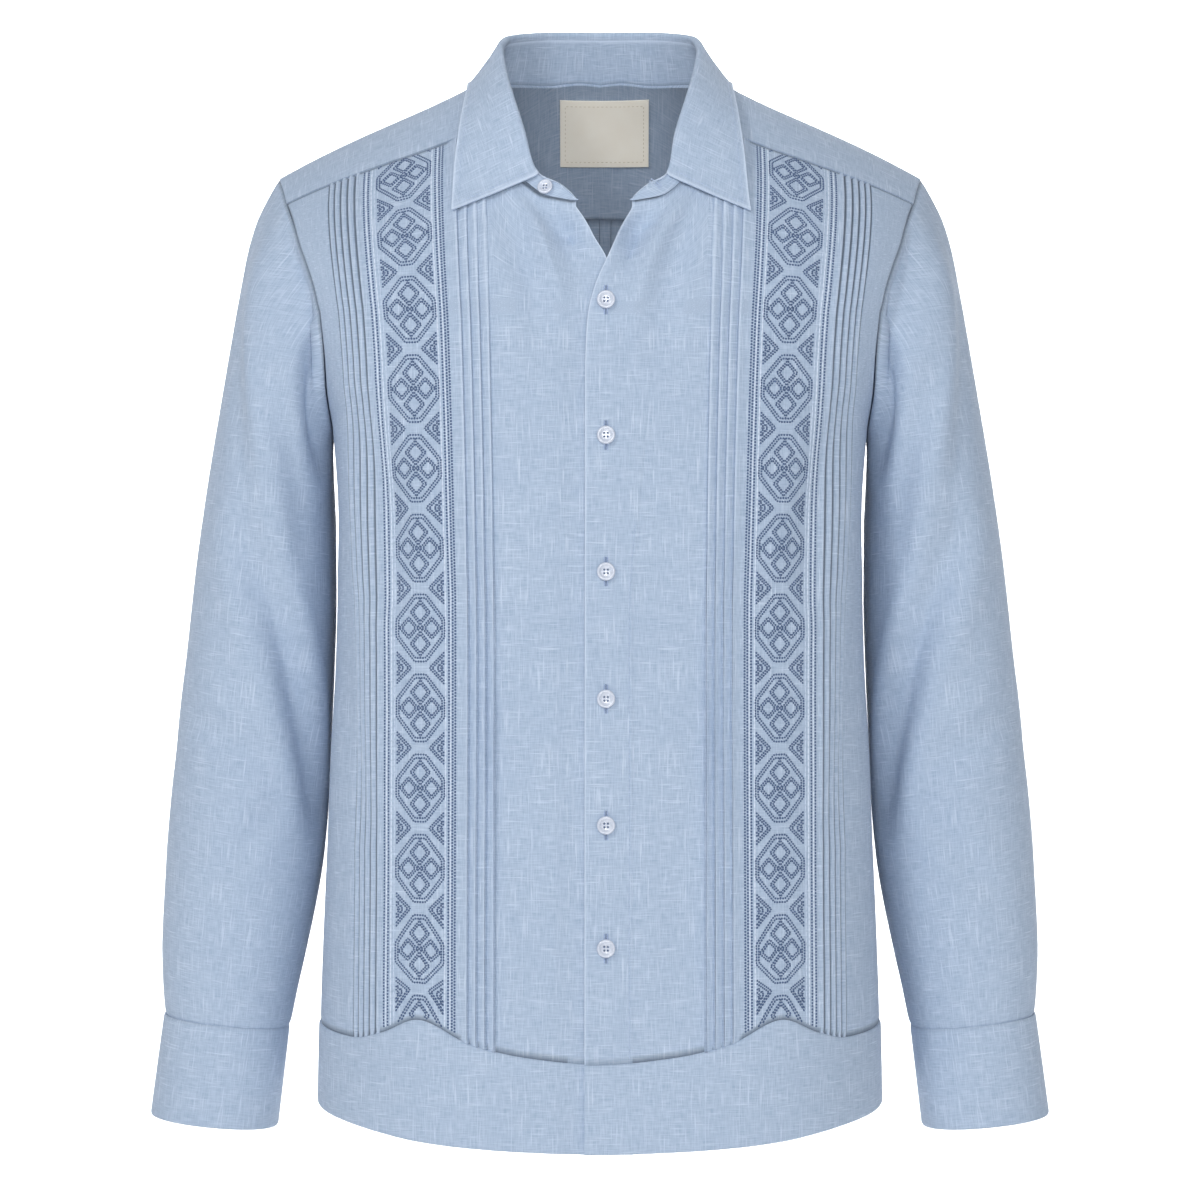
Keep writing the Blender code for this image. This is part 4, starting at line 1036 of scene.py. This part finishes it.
# %% [markdown]
# ## The collar
# The stand rises from the neck seam, and the leaf folds over it. Both are cut from the same lines across the
# collar. Each line goes up from the seam, round a small fold and down to the leaf's free edge. The leaf is
# held just clear of the shirt below it.

# %% Collar
COLLAR = Table(
    "turn fold_x fold_y fold_z tip_x tip_y tip_z",
    (0, 0.0000, 0.0545, 0.0465, 0.0000, 0.0850, 0.0005),
    (25, 0.0285, 0.0500, 0.0460, 0.0365, 0.0775, 0.0005),
    (50, 0.0505, 0.0350, 0.0425, 0.0660, 0.0520, 0.0015),
    (70, 0.0610, 0.0180, 0.0375, 0.0800, 0.0250, 0.0030),
    (90, 0.0632, 0.0000, 0.0290, 0.0855, -0.0020, 0.0030),
    (105, 0.0605, -0.0290, 0.0105, 0.0862, -0.0300, -0.0070),
    (120, 0.0548, -0.0585, -0.0115, 0.0885, -0.0600, -0.0290),
    (135, 0.0470, -0.0785, -0.0370, 0.0910, -0.0800, -0.0560),
    (150, 0.0400, -0.0945, -0.0655, 0.0930, -0.0945, -0.0893),
    (160, 0.0275, -0.0995, -0.0727, 0.0930, -0.0945, -0.0893),
    (170, 0.0195, -0.1012, -0.0795, 0.0930, -0.0945, -0.0893),
    (175, 0.0165, -0.1004, -0.0833, 0.0930, -0.0945, -0.0893),
)
COLLAR_SEAM = 0.0062


def form_tree():
    """The body form's shoulders as a tree for nearest points."""
    angles = np.linspace(-89.9, 90, 140)
    lines = []
    for across in np.linspace(-0.205, 0.205, 141):
        low = on_body(np.full(6, across), np.linspace(-0.24, -0.155, 6), -1)
        lines.append(np.concatenate([low, on_shoulder(across, angles)]))
    grid = np.array(lines)
    quads = shell_faces(*grid.shape[:2], False)[: (grid.shape[0] - 1) * (grid.shape[1] - 1)]
    return BVHTree.FromPolygons([Vector(p) for p in grid.reshape(-1, 3)], quads.tolist())


FORM = form_tree()


def on_form(point):
    """The form's nearest point and its outward normal."""
    near, normal = FORM.find_nearest(Vector(point))[:2]
    return np.array(near), np.array(normal if normal.z > 0 else -normal)


class CollarLine:
    """One line across the collar. A distance along it starts at the fold's crest and is negative inside."""

    def __init__(self, turn):
        at = abs(turn)
        flip = np.array([-1 if turn < 0 else 1, 1.0, 1.0])
        shift = np.array([0.0025 * float(ease((at - 135) / 25)), 0.0, 0.0])
        row = {key: float(COLLAR(key, at)) for key in COLLAR.columns}
        base = on_shoulder(NECK("across", at), NECK("angle", at))
        base = (base + on_form(base)[1] * 0.0006) * flip + shift
        fold = np.array([row["fold_x"], row["fold_y"], row["fold_z"]]) * flip + shift
        tip = np.array([row["tip_x"], row["tip_y"], row["tip_z"]]) * flip + shift * 0.5
        down, out = base - fold, tip - fold
        self.ends = {-1: base, 1: tip}
        self.radius = min(0.0026, float(np.linalg.norm(down)) * 0.22)
        self.crest = -unit(unit(down) + unit(out))
        self.aside = unit(out - self.crest * float(out @ self.crest))
        self.centre = fold - self.crest * self.radius

    def bend(self, angle):
        return self.centre + self.radius * (self.crest * math.cos(angle) + self.aside * math.sin(angle))

    def run(self, sign):
        """The angle where the cloth leaves the fold, that place, and the length from there to the end."""
        offset = self.ends[sign] - self.centre
        high, wide = float(offset @ self.crest), float(offset @ self.aside) * sign
        angle = math.atan2(wide, high) - math.acos(min(self.radius / math.hypot(high, wide), 1.0))
        leave = self.bend(angle * sign)
        return angle, leave, float(np.linalg.norm(self.ends[sign] - leave))

    def length(self, sign):
        angle, leave, rest = self.run(sign)
        return self.radius * angle + rest

    def point(self, distance):
        sign = -1 if distance < 0 else 1
        angle, leave, rest = self.run(sign)
        beyond = abs(distance) - self.radius * angle
        if beyond <= 0:
            return self.bend(distance / self.radius)
        return leave + unit(self.ends[sign] - leave) * beyond


def both_sides(turns):
    return np.concatenate([-turns[:0:-1], turns])


def stand_form():
    turns = np.concatenate([np.linspace(0, 150, 62), [150.3], np.linspace(151.5, 175, 20)])
    columns = []
    for turn in both_sides(turns):
        line = CollarLine(turn)
        top = -COLLAR_SEAM if abs(turn) <= 150 else 0.0
        columns.append([line.point(between(-line.length(-1), top, share)) for share in np.linspace(0, 1, 13)])
    return np.array(columns).transpose(1, 0, 2)


def leaf_form():
    columns = []
    for turn in both_sides(np.linspace(0, 150, 76)):
        line = CollarLine(turn)
        inner, outer = (line.radius * line.run(sign)[0] for sign in (-1, 1))
        steps = np.concatenate([[-COLLAR_SEAM], np.linspace(-inner, outer, 9)])
        steps = np.concatenate([steps, between(outer, line.length(1), np.linspace(0, 1, 25)[1:] ** 0.95)])
        points = [line.point(distance) for distance in steps]
        for i in range(8, len(points)):
            near, normal = on_form(points[i])
            clear = float((points[i] - near) @ normal)
            points[i] = points[i] + normal * max(0.0038 - clear, 0.0)
        columns.append(points)
    return np.array(columns).transpose(1, 0, 2)


STAND = Sheet(stand_form())
STAND.relief(-0.0003 * np.exp(-((STAND.border("bottom") / 0.0008) ** 2)))
# Painted highlight along the stand's top edge and its ends; the groove at its foot takes painted shade.
cloth_piece("collar_stand", STAND, LINEN, painted_highlight=np.exp(-((STAND.border("top", "first", "last") / 0.0010) ** 2)))
LEAF = Sheet(leaf_form())
edge = LEAF.border("top", "first", "last")
LEAF.relief(0.0003 * np.exp(-((edge / 0.0035) ** 2)))
# Painted highlight along the leaf's free edge and its ends.
cloth_piece("collar_leaf", LEAF, LINEN, painted_highlight=np.exp(-((edge / 0.0012) ** 2)))
print("stand", FLAT["collar_stand"], "leaf", FLAT["collar_leaf"])

# %% [markdown]
# ## The stitched bands
# Each front has a band of embroidery between its two groups of pintucks. The pattern is a row of tall
# hexagons, each round a cross of four hollow petals, with small triangles in the spaces at the sides. It is
# drawn here as lines in millimetres from a hexagon's middle, and every line is sewn as two rows of stitches.

# %% Embroidery
BAND_MIDDLE = 0.1112
REPEAT = 0.0494


def sewn(points, closed=True, inset=0.0, step=1.30, gap=0.35):
    """A line of the pattern, in millimetres across and up, drawn in towards the middle of its points."""
    return {"points": points, "closed": closed, "inset": inset, "step": step, "gap": gap}


def both_rows(points, closed=True, apart=1.5):
    return [sewn(points, closed), sewn(points, closed, apart)]


HEXAGON = [(3.7, 20.7), (15.3, 5.6), (15.3, -5.6), (3.7, -20.7), (-3.7, -20.7), (-15.3, -5.6), (-15.3, 5.6), (-3.7, 20.7)]
PETAL_UP = [(0, 17.2), (6.3, 9.8), (0, 2.0), (-6.3, 9.8)]
PETAL_SIDE = [(13.2, 0), (7.2, 6.9), (1.2, 0), (7.2, -6.9)]
PATTERN = both_rows(HEXAGON, apart=1.6)
for turn in (1, -1):
    PATTERN += both_rows([(x, y * turn) for x, y in PETAL_UP]) + both_rows([(x * turn, y) for x, y in PETAL_SIDE])
    PATTERN.append(sewn([(-1.6, -1.6 * turn), (1.6, 1.6 * turn)], False, step=1.4, gap=0.2))
    PATTERN.append(sewn([(0, 17.4 * turn), (0, 18.8 * turn)], False, step=1.2, gap=0.1))
    for row in (0.0, 1.9, 5.0, 6.9):
        triangle = [(15.2, 24.7 + 10.0 - row), (15.2 - (9.6 - row), 24.7), (15.2, 24.7 - 10.0 + row)]
        PATTERN.append(sewn([(x * turn, y) for x, y in triangle], False))
    cross = [(14.0, 24.7), (11.6, 26.6), (11.6, 22.8), (13.6, 29.0), (13.6, 20.4)]
    PATTERN += [sewn([(x * turn, y - 0.6), (x * turn, y + 0.6)], False, step=1.0, gap=0.1) for x, y in cross]


def pattern_stitches(line):
    """Starts and ends of the stitches of one line, in metres."""
    points = np.array(line["points"], float)
    if line["closed"]:
        points = np.concatenate([points, points[:1]])
        middle = points[:-1].mean(axis=0)
        away = points - middle
        size = np.linalg.norm(away, axis=1).mean()
        points = middle + away * (1 - line["inset"] / (size * 0.8))
    run = np.concatenate([[0], np.cumsum(np.linalg.norm(np.diff(points, axis=0), axis=1))])
    count = max(int(round(run[-1] / (line["step"] + line["gap"]))), 1)
    starts = (np.arange(count) + 0.5) * run[-1] / count - line["step"] / 2
    ends = [np.stack([np.interp(d, run, points[:, k]) for k in (0, 1)], -1) for d in (starts, starts + line["step"])]
    return ends[0] / 1000, ends[1] / 1000


def band_stitches(sheet):
    """The band's stitches on a front: the dark pattern, and the pale lines beside it."""
    dark, pale = Stitches(), Stitches()
    field = (LOWS > 0.0869) & (LOWS < 0.1366)
    columns = np.arange(len(LOWS))[field] + FIRST
    middle = int(np.interp(BAND_MIDDLE, LOWS[field], columns))
    run = sheet.along[:, middle]
    anchor = np.interp(-0.3488, sheet.form[:, middle, 2], run)
    rows = np.arange(len(run))

    def sew(starts, ends, centre):
        inside = (starts[:, 1] + centre > 0.0012) & (ends[:, 1] + centre > 0.0012)
        inside &= (starts[:, 1] + centre < run[-1] - 0.0012) & (ends[:, 1] + centre < run[-1] - 0.0012)
        found = []
        for spot in (starts[inside], ends[inside]):
            row = np.interp(spot[:, 1] + centre, run, rows)
            found.append(sheet.place(row, np.interp(BAND_MIDDLE + spot[:, 0], LOWS[field], columns)))
        if len(found[0][0]):
            dark.add(found[0][0], found[1][0], found[0][1], 0.00125, 0.00060)

    for repeat in range(-6, 9):
        for line in PATTERN:
            starts, ends = pattern_stitches(line)
            sew(starts, ends, anchor + repeat * REPEAT)
    # Borders, by distance from the front's centre: the dotted rows, and the pale lines beside them.
    ends = np.array([0.6, len(run) - 1.6])
    for across in (0.1340, 0.1314, 0.0932, 0.0909, 0.0892):
        column = np.interp(across, LOWS[field], columns)
        dark.line(sheet, np.linspace(*ends, 150), np.full(150, column), 0.0014, 0.0005, 0.0013, 0.0005)
    for across, wide in ((0.1327, 0.0009), (0.1296, 0.0008), (0.1276, 0.0004), (0.0953, 0.0008), (0.0921, 0.0009)):
        column = np.interp(across, LOWS[field], columns)
        pale.line(sheet, np.linspace(*ends, 150), np.full(150, column), 0.0040, 0.00005, wide, 0.0003)
    return dark, pale


dark, pale = band_stitches(FRONTS["left"])
# The embroidery's dark thread is partly its own colour and partly painted shade of the needle holes.
for hand in ("left", "right"):
    dark.piece("embroidery_" + hand, DARK_THREAD_AND_PAINTED_SHADE, mirror=hand == "right")
    pale.piece("pale_lines_" + hand, PALE, mirror=hand == "right")

# %% [markdown]
# ## Seams sewn on top
# The placket is stitched down both its edges, and the collar round its leaf and its stand. The rest of the
# seams are sewn inside and show only as thin grooves, darkened with painted shade.

# %% Topstitching
def row_of(sheet, distance, column):
    return float(np.interp(distance, sheet.along[:, column], np.arange(len(sheet.along))))


top = Stitches()
front = FRONTS["left"]
tall = len(front.form)
body = np.linspace(0.5, tall - 1.5, 200)
low = body < len(HEIGHTS) - 44
top.line(front, body[low], np.full(low.sum(), FIRST + np.interp(0.0180, LOWS, np.arange(len(LOWS)))), 0.0022, 0.0008)
leaf_rows, leaf_columns = LEAF.form.shape[:2]
for inset in (0.0045,):
    across = np.arange(3, leaf_columns - 3)
    rows = np.array([np.interp(LEAF.along[-1, c] - inset, LEAF.along[:, c], np.arange(leaf_rows)) for c in across])
    side = np.interp(inset, LEAF.across[leaf_rows // 2], np.arange(leaf_columns))
    low = rows[0]
    up = np.linspace(10, low, 30)
    path = np.concatenate([up, rows[2:-2], up[::-1]])
    along = np.concatenate([np.full(30, side), across[2:-2], np.full(30, leaf_columns - 1 - side)])
    top.line(LEAF, path, along, 0.0020, 0.0008, 0.0004, 0.0003)
for end in (-1, 1):
    columns = np.arange(3, 19) if end < 0 else np.arange(STAND.form.shape[1] - 19, STAND.form.shape[1] - 3)
    top.line(STAND, np.full(len(columns), 10.6), columns, 0.0018, 0.0007, 0.0004, 0.0003)
top.piece("topstitching", SEWING)

# %% [markdown]
# ## Buttons
# A pearl button is turned on a lathe, so its outline is a short profile that Screw spins into a disc. Four
# holes are cut through it, and the thread comes up through them. Below and above a button the ends of its
# buttonhole show, sewn round with close stitches.

# %% Buttons
def pearl():
    g = Graph("pearl")
    place = g.node("ShaderNodeTexCoord", None, None, 3)
    cloud = g.noise(place, 260.0, 3.0)
    streak = g.noise(place, 900.0)
    colour = g.mix(cloud, seen(176, 188, 208), seen(220, 226, 238))
    colour = g.mix((streak - 0.45).clamped() * 0.5, colour, seen(222, 208, 214))
    return g.finish(bump=cloud, strength=0.15, distance=0.0003, Base_Color=colour, Roughness=0.2 + cloud * 0.12, Coat_Weight=0.5, Coat_Roughness=0.1)


def button_mesh(name, radius, thick):
    """A turned disc with a raised rim and four holes."""
    profile = ((0, 0.60), (0.42, 0.58), (0.56, 0.62), (0.66, 0.82), (0.76, 1.0), (0.87, 1.0), (0.96, 0.84), (1.0, 0.6), (0.96, 0.3), (0.66, 0.0), (0, 0))
    work = bmesh.new()
    points = [work.verts.new((x * radius, 0.0, z * thick)) for x, z in profile]
    for one, other in zip(points, points[1:]):
        work.edges.new((one, other))
    mesh = bpy.data.meshes.new(name)
    work.to_mesh(mesh)
    work.clear()
    for corner in range(4):
        around = math.radians(45 + 90 * corner)
        spot = Matrix.Translation((math.cos(around) * radius * 0.27, math.sin(around) * radius * 0.27, thick / 2))
        wide = radius * 0.13
        bmesh.ops.create_cone(work, cap_ends=True, segments=16, radius1=wide, radius2=wide, depth=thick * 3, matrix=spot)
    holes = bpy.data.meshes.new(name + "_holes")
    work.to_mesh(holes)
    work.free()
    made = bpy.data.objects.new(name, mesh)
    cutter = bpy.data.objects.new(name + "_holes", holes)
    for each in (made, cutter):
        bpy.context.scene.collection.objects.link(each)
    screw = made.modifiers.new("turned", "SCREW")
    screw.steps = screw.render_steps = 48
    screw.use_merge_vertices = True
    screw.merge_threshold = 0.00002
    cut = made.modifiers.new("holes", "BOOLEAN")
    cut.object = cutter
    cut.solver = "EXACT"
    bpy.context.view_layer.update()
    done = bpy.data.meshes.new_from_object(made.evaluated_get(bpy.context.evaluated_depsgraph_get()))
    for each in (made, cutter):
        bpy.data.objects.remove(each)
    done.shade_smooth()
    done.set_sharp_from_angle(angle=math.radians(50))
    return done


def tree_of(piece):
    bpy.context.view_layer.update()
    return BVHTree.FromObject(piece, bpy.context.evaluated_depsgraph_get())


PEARL = pearl()
BUTTON_HEIGHTS = (-0.1465, -0.2302, -0.3140, -0.3922, -0.4696, -0.5448)
button_threads, hole_edges, painted_slit_shade = Stitches(), Stitches(), Stitches()


def sew_button(node, mesh, radius, thick, tree, start, towards):
    """Puts a button where a ray first meets the cloth, and sews it on with two bars of thread."""
    hit, normal = tree.ray_cast(Vector(start), Vector(towards))[:2]
    if normal.dot(Vector(towards)) > 0:
        normal = -normal
    made = bpy.data.objects.new("pearl_" + node, mesh)
    bpy.context.scene.collection.objects.link(made)
    face = normal.to_track_quat("Z", "Y").to_matrix().to_4x4()
    made.matrix_world = Matrix.Translation(hit + normal * 0.0005) @ face
    show(made, PEARL, node)
    spot = radius * 0.27 * math.sqrt(0.5)
    for aside in (-spot, spot):
        for slip in (-0.00022, 0.0, 0.00022):
            ends = [made.matrix_world @ Vector((aside + slip, y, thick * 0.30)) for y in (-spot, spot)]
            button_threads.add(ends[0], ends[1], normal, 0.0003, 0.0003)
    return hit, normal


front_tree = tree_of(bpy.data.objects["cloth_front_left"])
large, small = button_mesh("large_button", 0.0057, 0.0024), button_mesh("small_button", 0.0049, 0.0024)
for number, height in enumerate(BUTTON_HEIGHTS, 1):
    sew_button("button_front_%d" % number, large, 0.0057, 0.0024, front_tree, (0.0037, -0.3, height), (0, 1, 0))
    for z in np.arange(height - 0.0088, height + 0.0089, 0.00055):
        hit, normal = front_tree.ray_cast(Vector((0.0037, -0.3, z)), Vector((0, 1, 0)))[:2]
        for side in (-1, 1):
            start = hit + Vector((0.0003 * side, 0, 0))
            hole_edges.add(start, hit + Vector((0.0014 * side, 0, 0)), normal, 0.0006, 0.00045)
        # Painted shade: a dark strip of short bars along the slit of each buttonhole.
        painted_slit_shade.add(hit - Vector((0, 0, 0.0003)), hit + Vector((0, 0, 0.0003)), normal, 0.0005, 0.0002)
stand_tree = tree_of(bpy.data.objects["cloth_collar_stand"])
sew_button("button_collar", small, 0.0049, 0.0024, stand_tree, (-0.0337, -0.3, -0.0754), (0, 1, 0))
for hand, side in (("left", 1), ("right", -1)):
    cuff_tree = tree_of(bpy.data.objects["cloth_cuff_" + hand])
    overlap = CUFFS.place(10.0, 127.0)[0]
    start = (overlap[0] * side, 0.3, overlap[2])
    sew_button("button_cuff_" + hand, small, 0.0049, 0.0024, cuff_tree, start, (0, -1, 0))
hit, normal = stand_tree.ray_cast(Vector((0.0345, -0.3, -0.0728)), Vector((0, 1, 0)))[:2]
for step in np.linspace(-0.0045, 0.0045, 16):
    middle = hit + Vector((step * 0.7, -0.0001, -step * 0.5))
    hole_edges.add(middle + Vector((0.0002, 0, 0.0003)), middle + Vector((0.0008, 0, 0.0011)), normal, 0.0005, 0.0004)
    hole_edges.add(middle - Vector((0.0002, 0, 0.0003)), middle - Vector((0.0008, 0, 0.0011)), normal, 0.0005, 0.0004)
button_threads.piece("button_thread", SEWING)
hole_edges.piece("buttonhole_edges", SEWING)
painted_slit_shade.piece("buttonhole_slit_painted_shade", DARK_THREAD_AND_PAINTED_SHADE)

# %% [markdown]
# ## The neck label
# The label is a small piece of cream satin inside the yoke, sewn round its edge. It is left bare.

# %% Label
def satin():
    g = Graph("cream_satin")
    uv = g.node("ShaderNodeUVMap", {"uv_map": "cloth"})
    apart = g.node("ShaderNodeSeparateXYZ", None, {0: uv})
    rows = (Value(g, apart.socket.node.outputs[1]) * (2 * math.pi / 0.0005)).sine()
    cloud = g.noise(uv, 60.0)
    colour = g.mix(cloud, seen(244, 236, 220), seen(252, 247, 234))
    return g.finish(bump=rows, strength=0.2, distance=0.0001, Base_Color=colour, Roughness=0.42 + cloud * 0.1, Sheen_Weight=0.3)


yoke_tree = tree_of(bpy.data.objects["cloth_yoke"])
rows = []
for height in np.linspace(-0.0380, 0.0035, 15):
    line = []
    for across in np.linspace(0.033, -0.027, 21):
        hit = yoke_tree.ray_cast(Vector((across, 0.0, height)), Vector((0.0, 1.0, 0.0)))[0]
        line.append((across, hit.y, height))
    rows.append(line)
LABEL = Sheet(np.array(rows) * np.array([1, 1, 1]), flip=True)
LABEL.push(0.0016)
puff = LABEL.border("top", "bottom", "first", "last")
LABEL.relief(0.0003 * (1 - np.exp(-((puff / 0.002) ** 2))))
cloth_piece("neck_label", LABEL, satin(), thickness=0.0010)
border = Stitches()
for rows, columns in ((1.1, None), (12.9, None), (None, 1.1), (None, 18.9)):
    path = np.linspace(1.1, 12.9, 12) if rows is None else np.full(20, rows)
    side = np.linspace(1.1, 18.9, 20) if columns is None else np.full(12, columns)
    border.line(LABEL, path, side, 0.0017, 0.0012, 0.0003, 0.0002)
border.piece("label_stitches", thread("label_thread", (176, 160, 130), (206, 192, 164)))
print("label", FLAT["neck_label"])

# %% [markdown]
# ## The sheets' flat sizes
# Each panel's flat width, length and area are read from FLAT, and a sleeve's width is taken from its widest
# ring. Nothing more is done with them.

# %% Sheet sizes
ARMS = ["cloth_sleeve_left", "cloth_sleeve_right"]
for name, (wide, long, area) in FLAT.items():
    if name in ("sleeve_left", "sleeve_right"):
        wide = round(float(SLEEVES.across[:, -1].max()), 4)

# %% [markdown]
# ## Floor, light and camera
# A pale floor curves up into a backdrop, so nothing behind the shirt draws the eye. One large light from the
# upper left gives the folds their shade, and a weaker one opens the shadows. The camera looks level at the
# shirt's middle from the front.

# %% Floor, light and camera
def backdrop():
    profile = [(-7.0, -1.5), (2.8, -1.5)]
    profile += [(2.8 + 0.8 * math.sin(t), -0.7 - 0.8 * math.cos(t)) for t in np.linspace(0.1, math.pi / 2, 12)]
    profile += [(3.6, 6.0)]
    points = [(x, y, z) for x in (-7.0, 7.0) for y, z in profile]
    n = len(profile)
    faces = [[i, i + n, i + n + 1, i + 1] for i in range(n - 1)]
    made = add_mesh("pale_backdrop", points, faces)
    g = Graph("pale_paper")
    place = g.node("ShaderNodeTexCoord", None, None, 3)
    made.data.materials.append(g.finish(Base_Color=(0.98, 0.98, 0.98, 1.0), Roughness=0.9 + g.noise(place, 40.0) * 0.05))


def area_light(name, place, aim, size, power):
    data = bpy.data.lights.new(name, "AREA")
    data.shape, data.size, data.energy = "DISK", size, power
    made = bpy.data.objects.new(name, data)
    made.location = place
    made.rotation_euler = (Vector(aim) - Vector(place)).to_track_quat("-Z", "Y").to_euler()
    bpy.context.scene.collection.objects.link(made)


backdrop()
area_light("key", (-1.6, -2.2, 1.4), (0, 0, -0.3), 0.7, 25)
area_light("fill", (1.3, -2.9, 0.1), (0, 0, -0.3), 1.6, 8)
area_light("front", (0.0, -3.0, 0.15), (0, 0, -0.2), 0.9, 25)
neck_light = bpy.data.lights.new("neck", "SPOT")
neck_light.energy, neck_light.spot_size, neck_light.spot_blend = 45, math.radians(6.5), 1.0
neck_light.shadow_soft_size = 0.1
neck_lamp = bpy.data.objects.new("neck", neck_light)
neck_lamp.location = (0.0, -2.4, 0.5)
neck_lamp.rotation_euler = (Vector((0.0, 0.08, -0.02)) - neck_lamp.location).to_track_quat("-Z", "Y").to_euler()
bpy.context.scene.collection.objects.link(neck_lamp)
area_light("back", (1.1, 2.6, 1.0), (0, 0, -0.3), 1.2, 10)
area_light("backdrop", (0.0, 1.7, 1.6), (0, 3.6, 0.3), 1.8, 170)
scene = bpy.context.scene
scene.world = bpy.data.worlds.new("soft_room")
scene.world.use_nodes = True
scene.world.node_tree.nodes["Background"].inputs["Color"].default_value = (1.0, 1.0, 1.0, 1.0)
scene.world.node_tree.nodes["Background"].inputs["Strength"].default_value = 0.43
camera_data = bpy.data.cameras.new("camera")
camera_data.lens = 101.5
camera_data.sensor_width = 36
camera = bpy.data.objects.new("camera", camera_data)
camera.location = (0.0, -2.2, -0.3315)
camera.rotation_euler = (math.pi / 2, 0, 0)
scene.collection.objects.link(camera)
scene.camera = camera
scene.view_settings.view_transform = "Standard"
print("camera", tuple(camera.location))
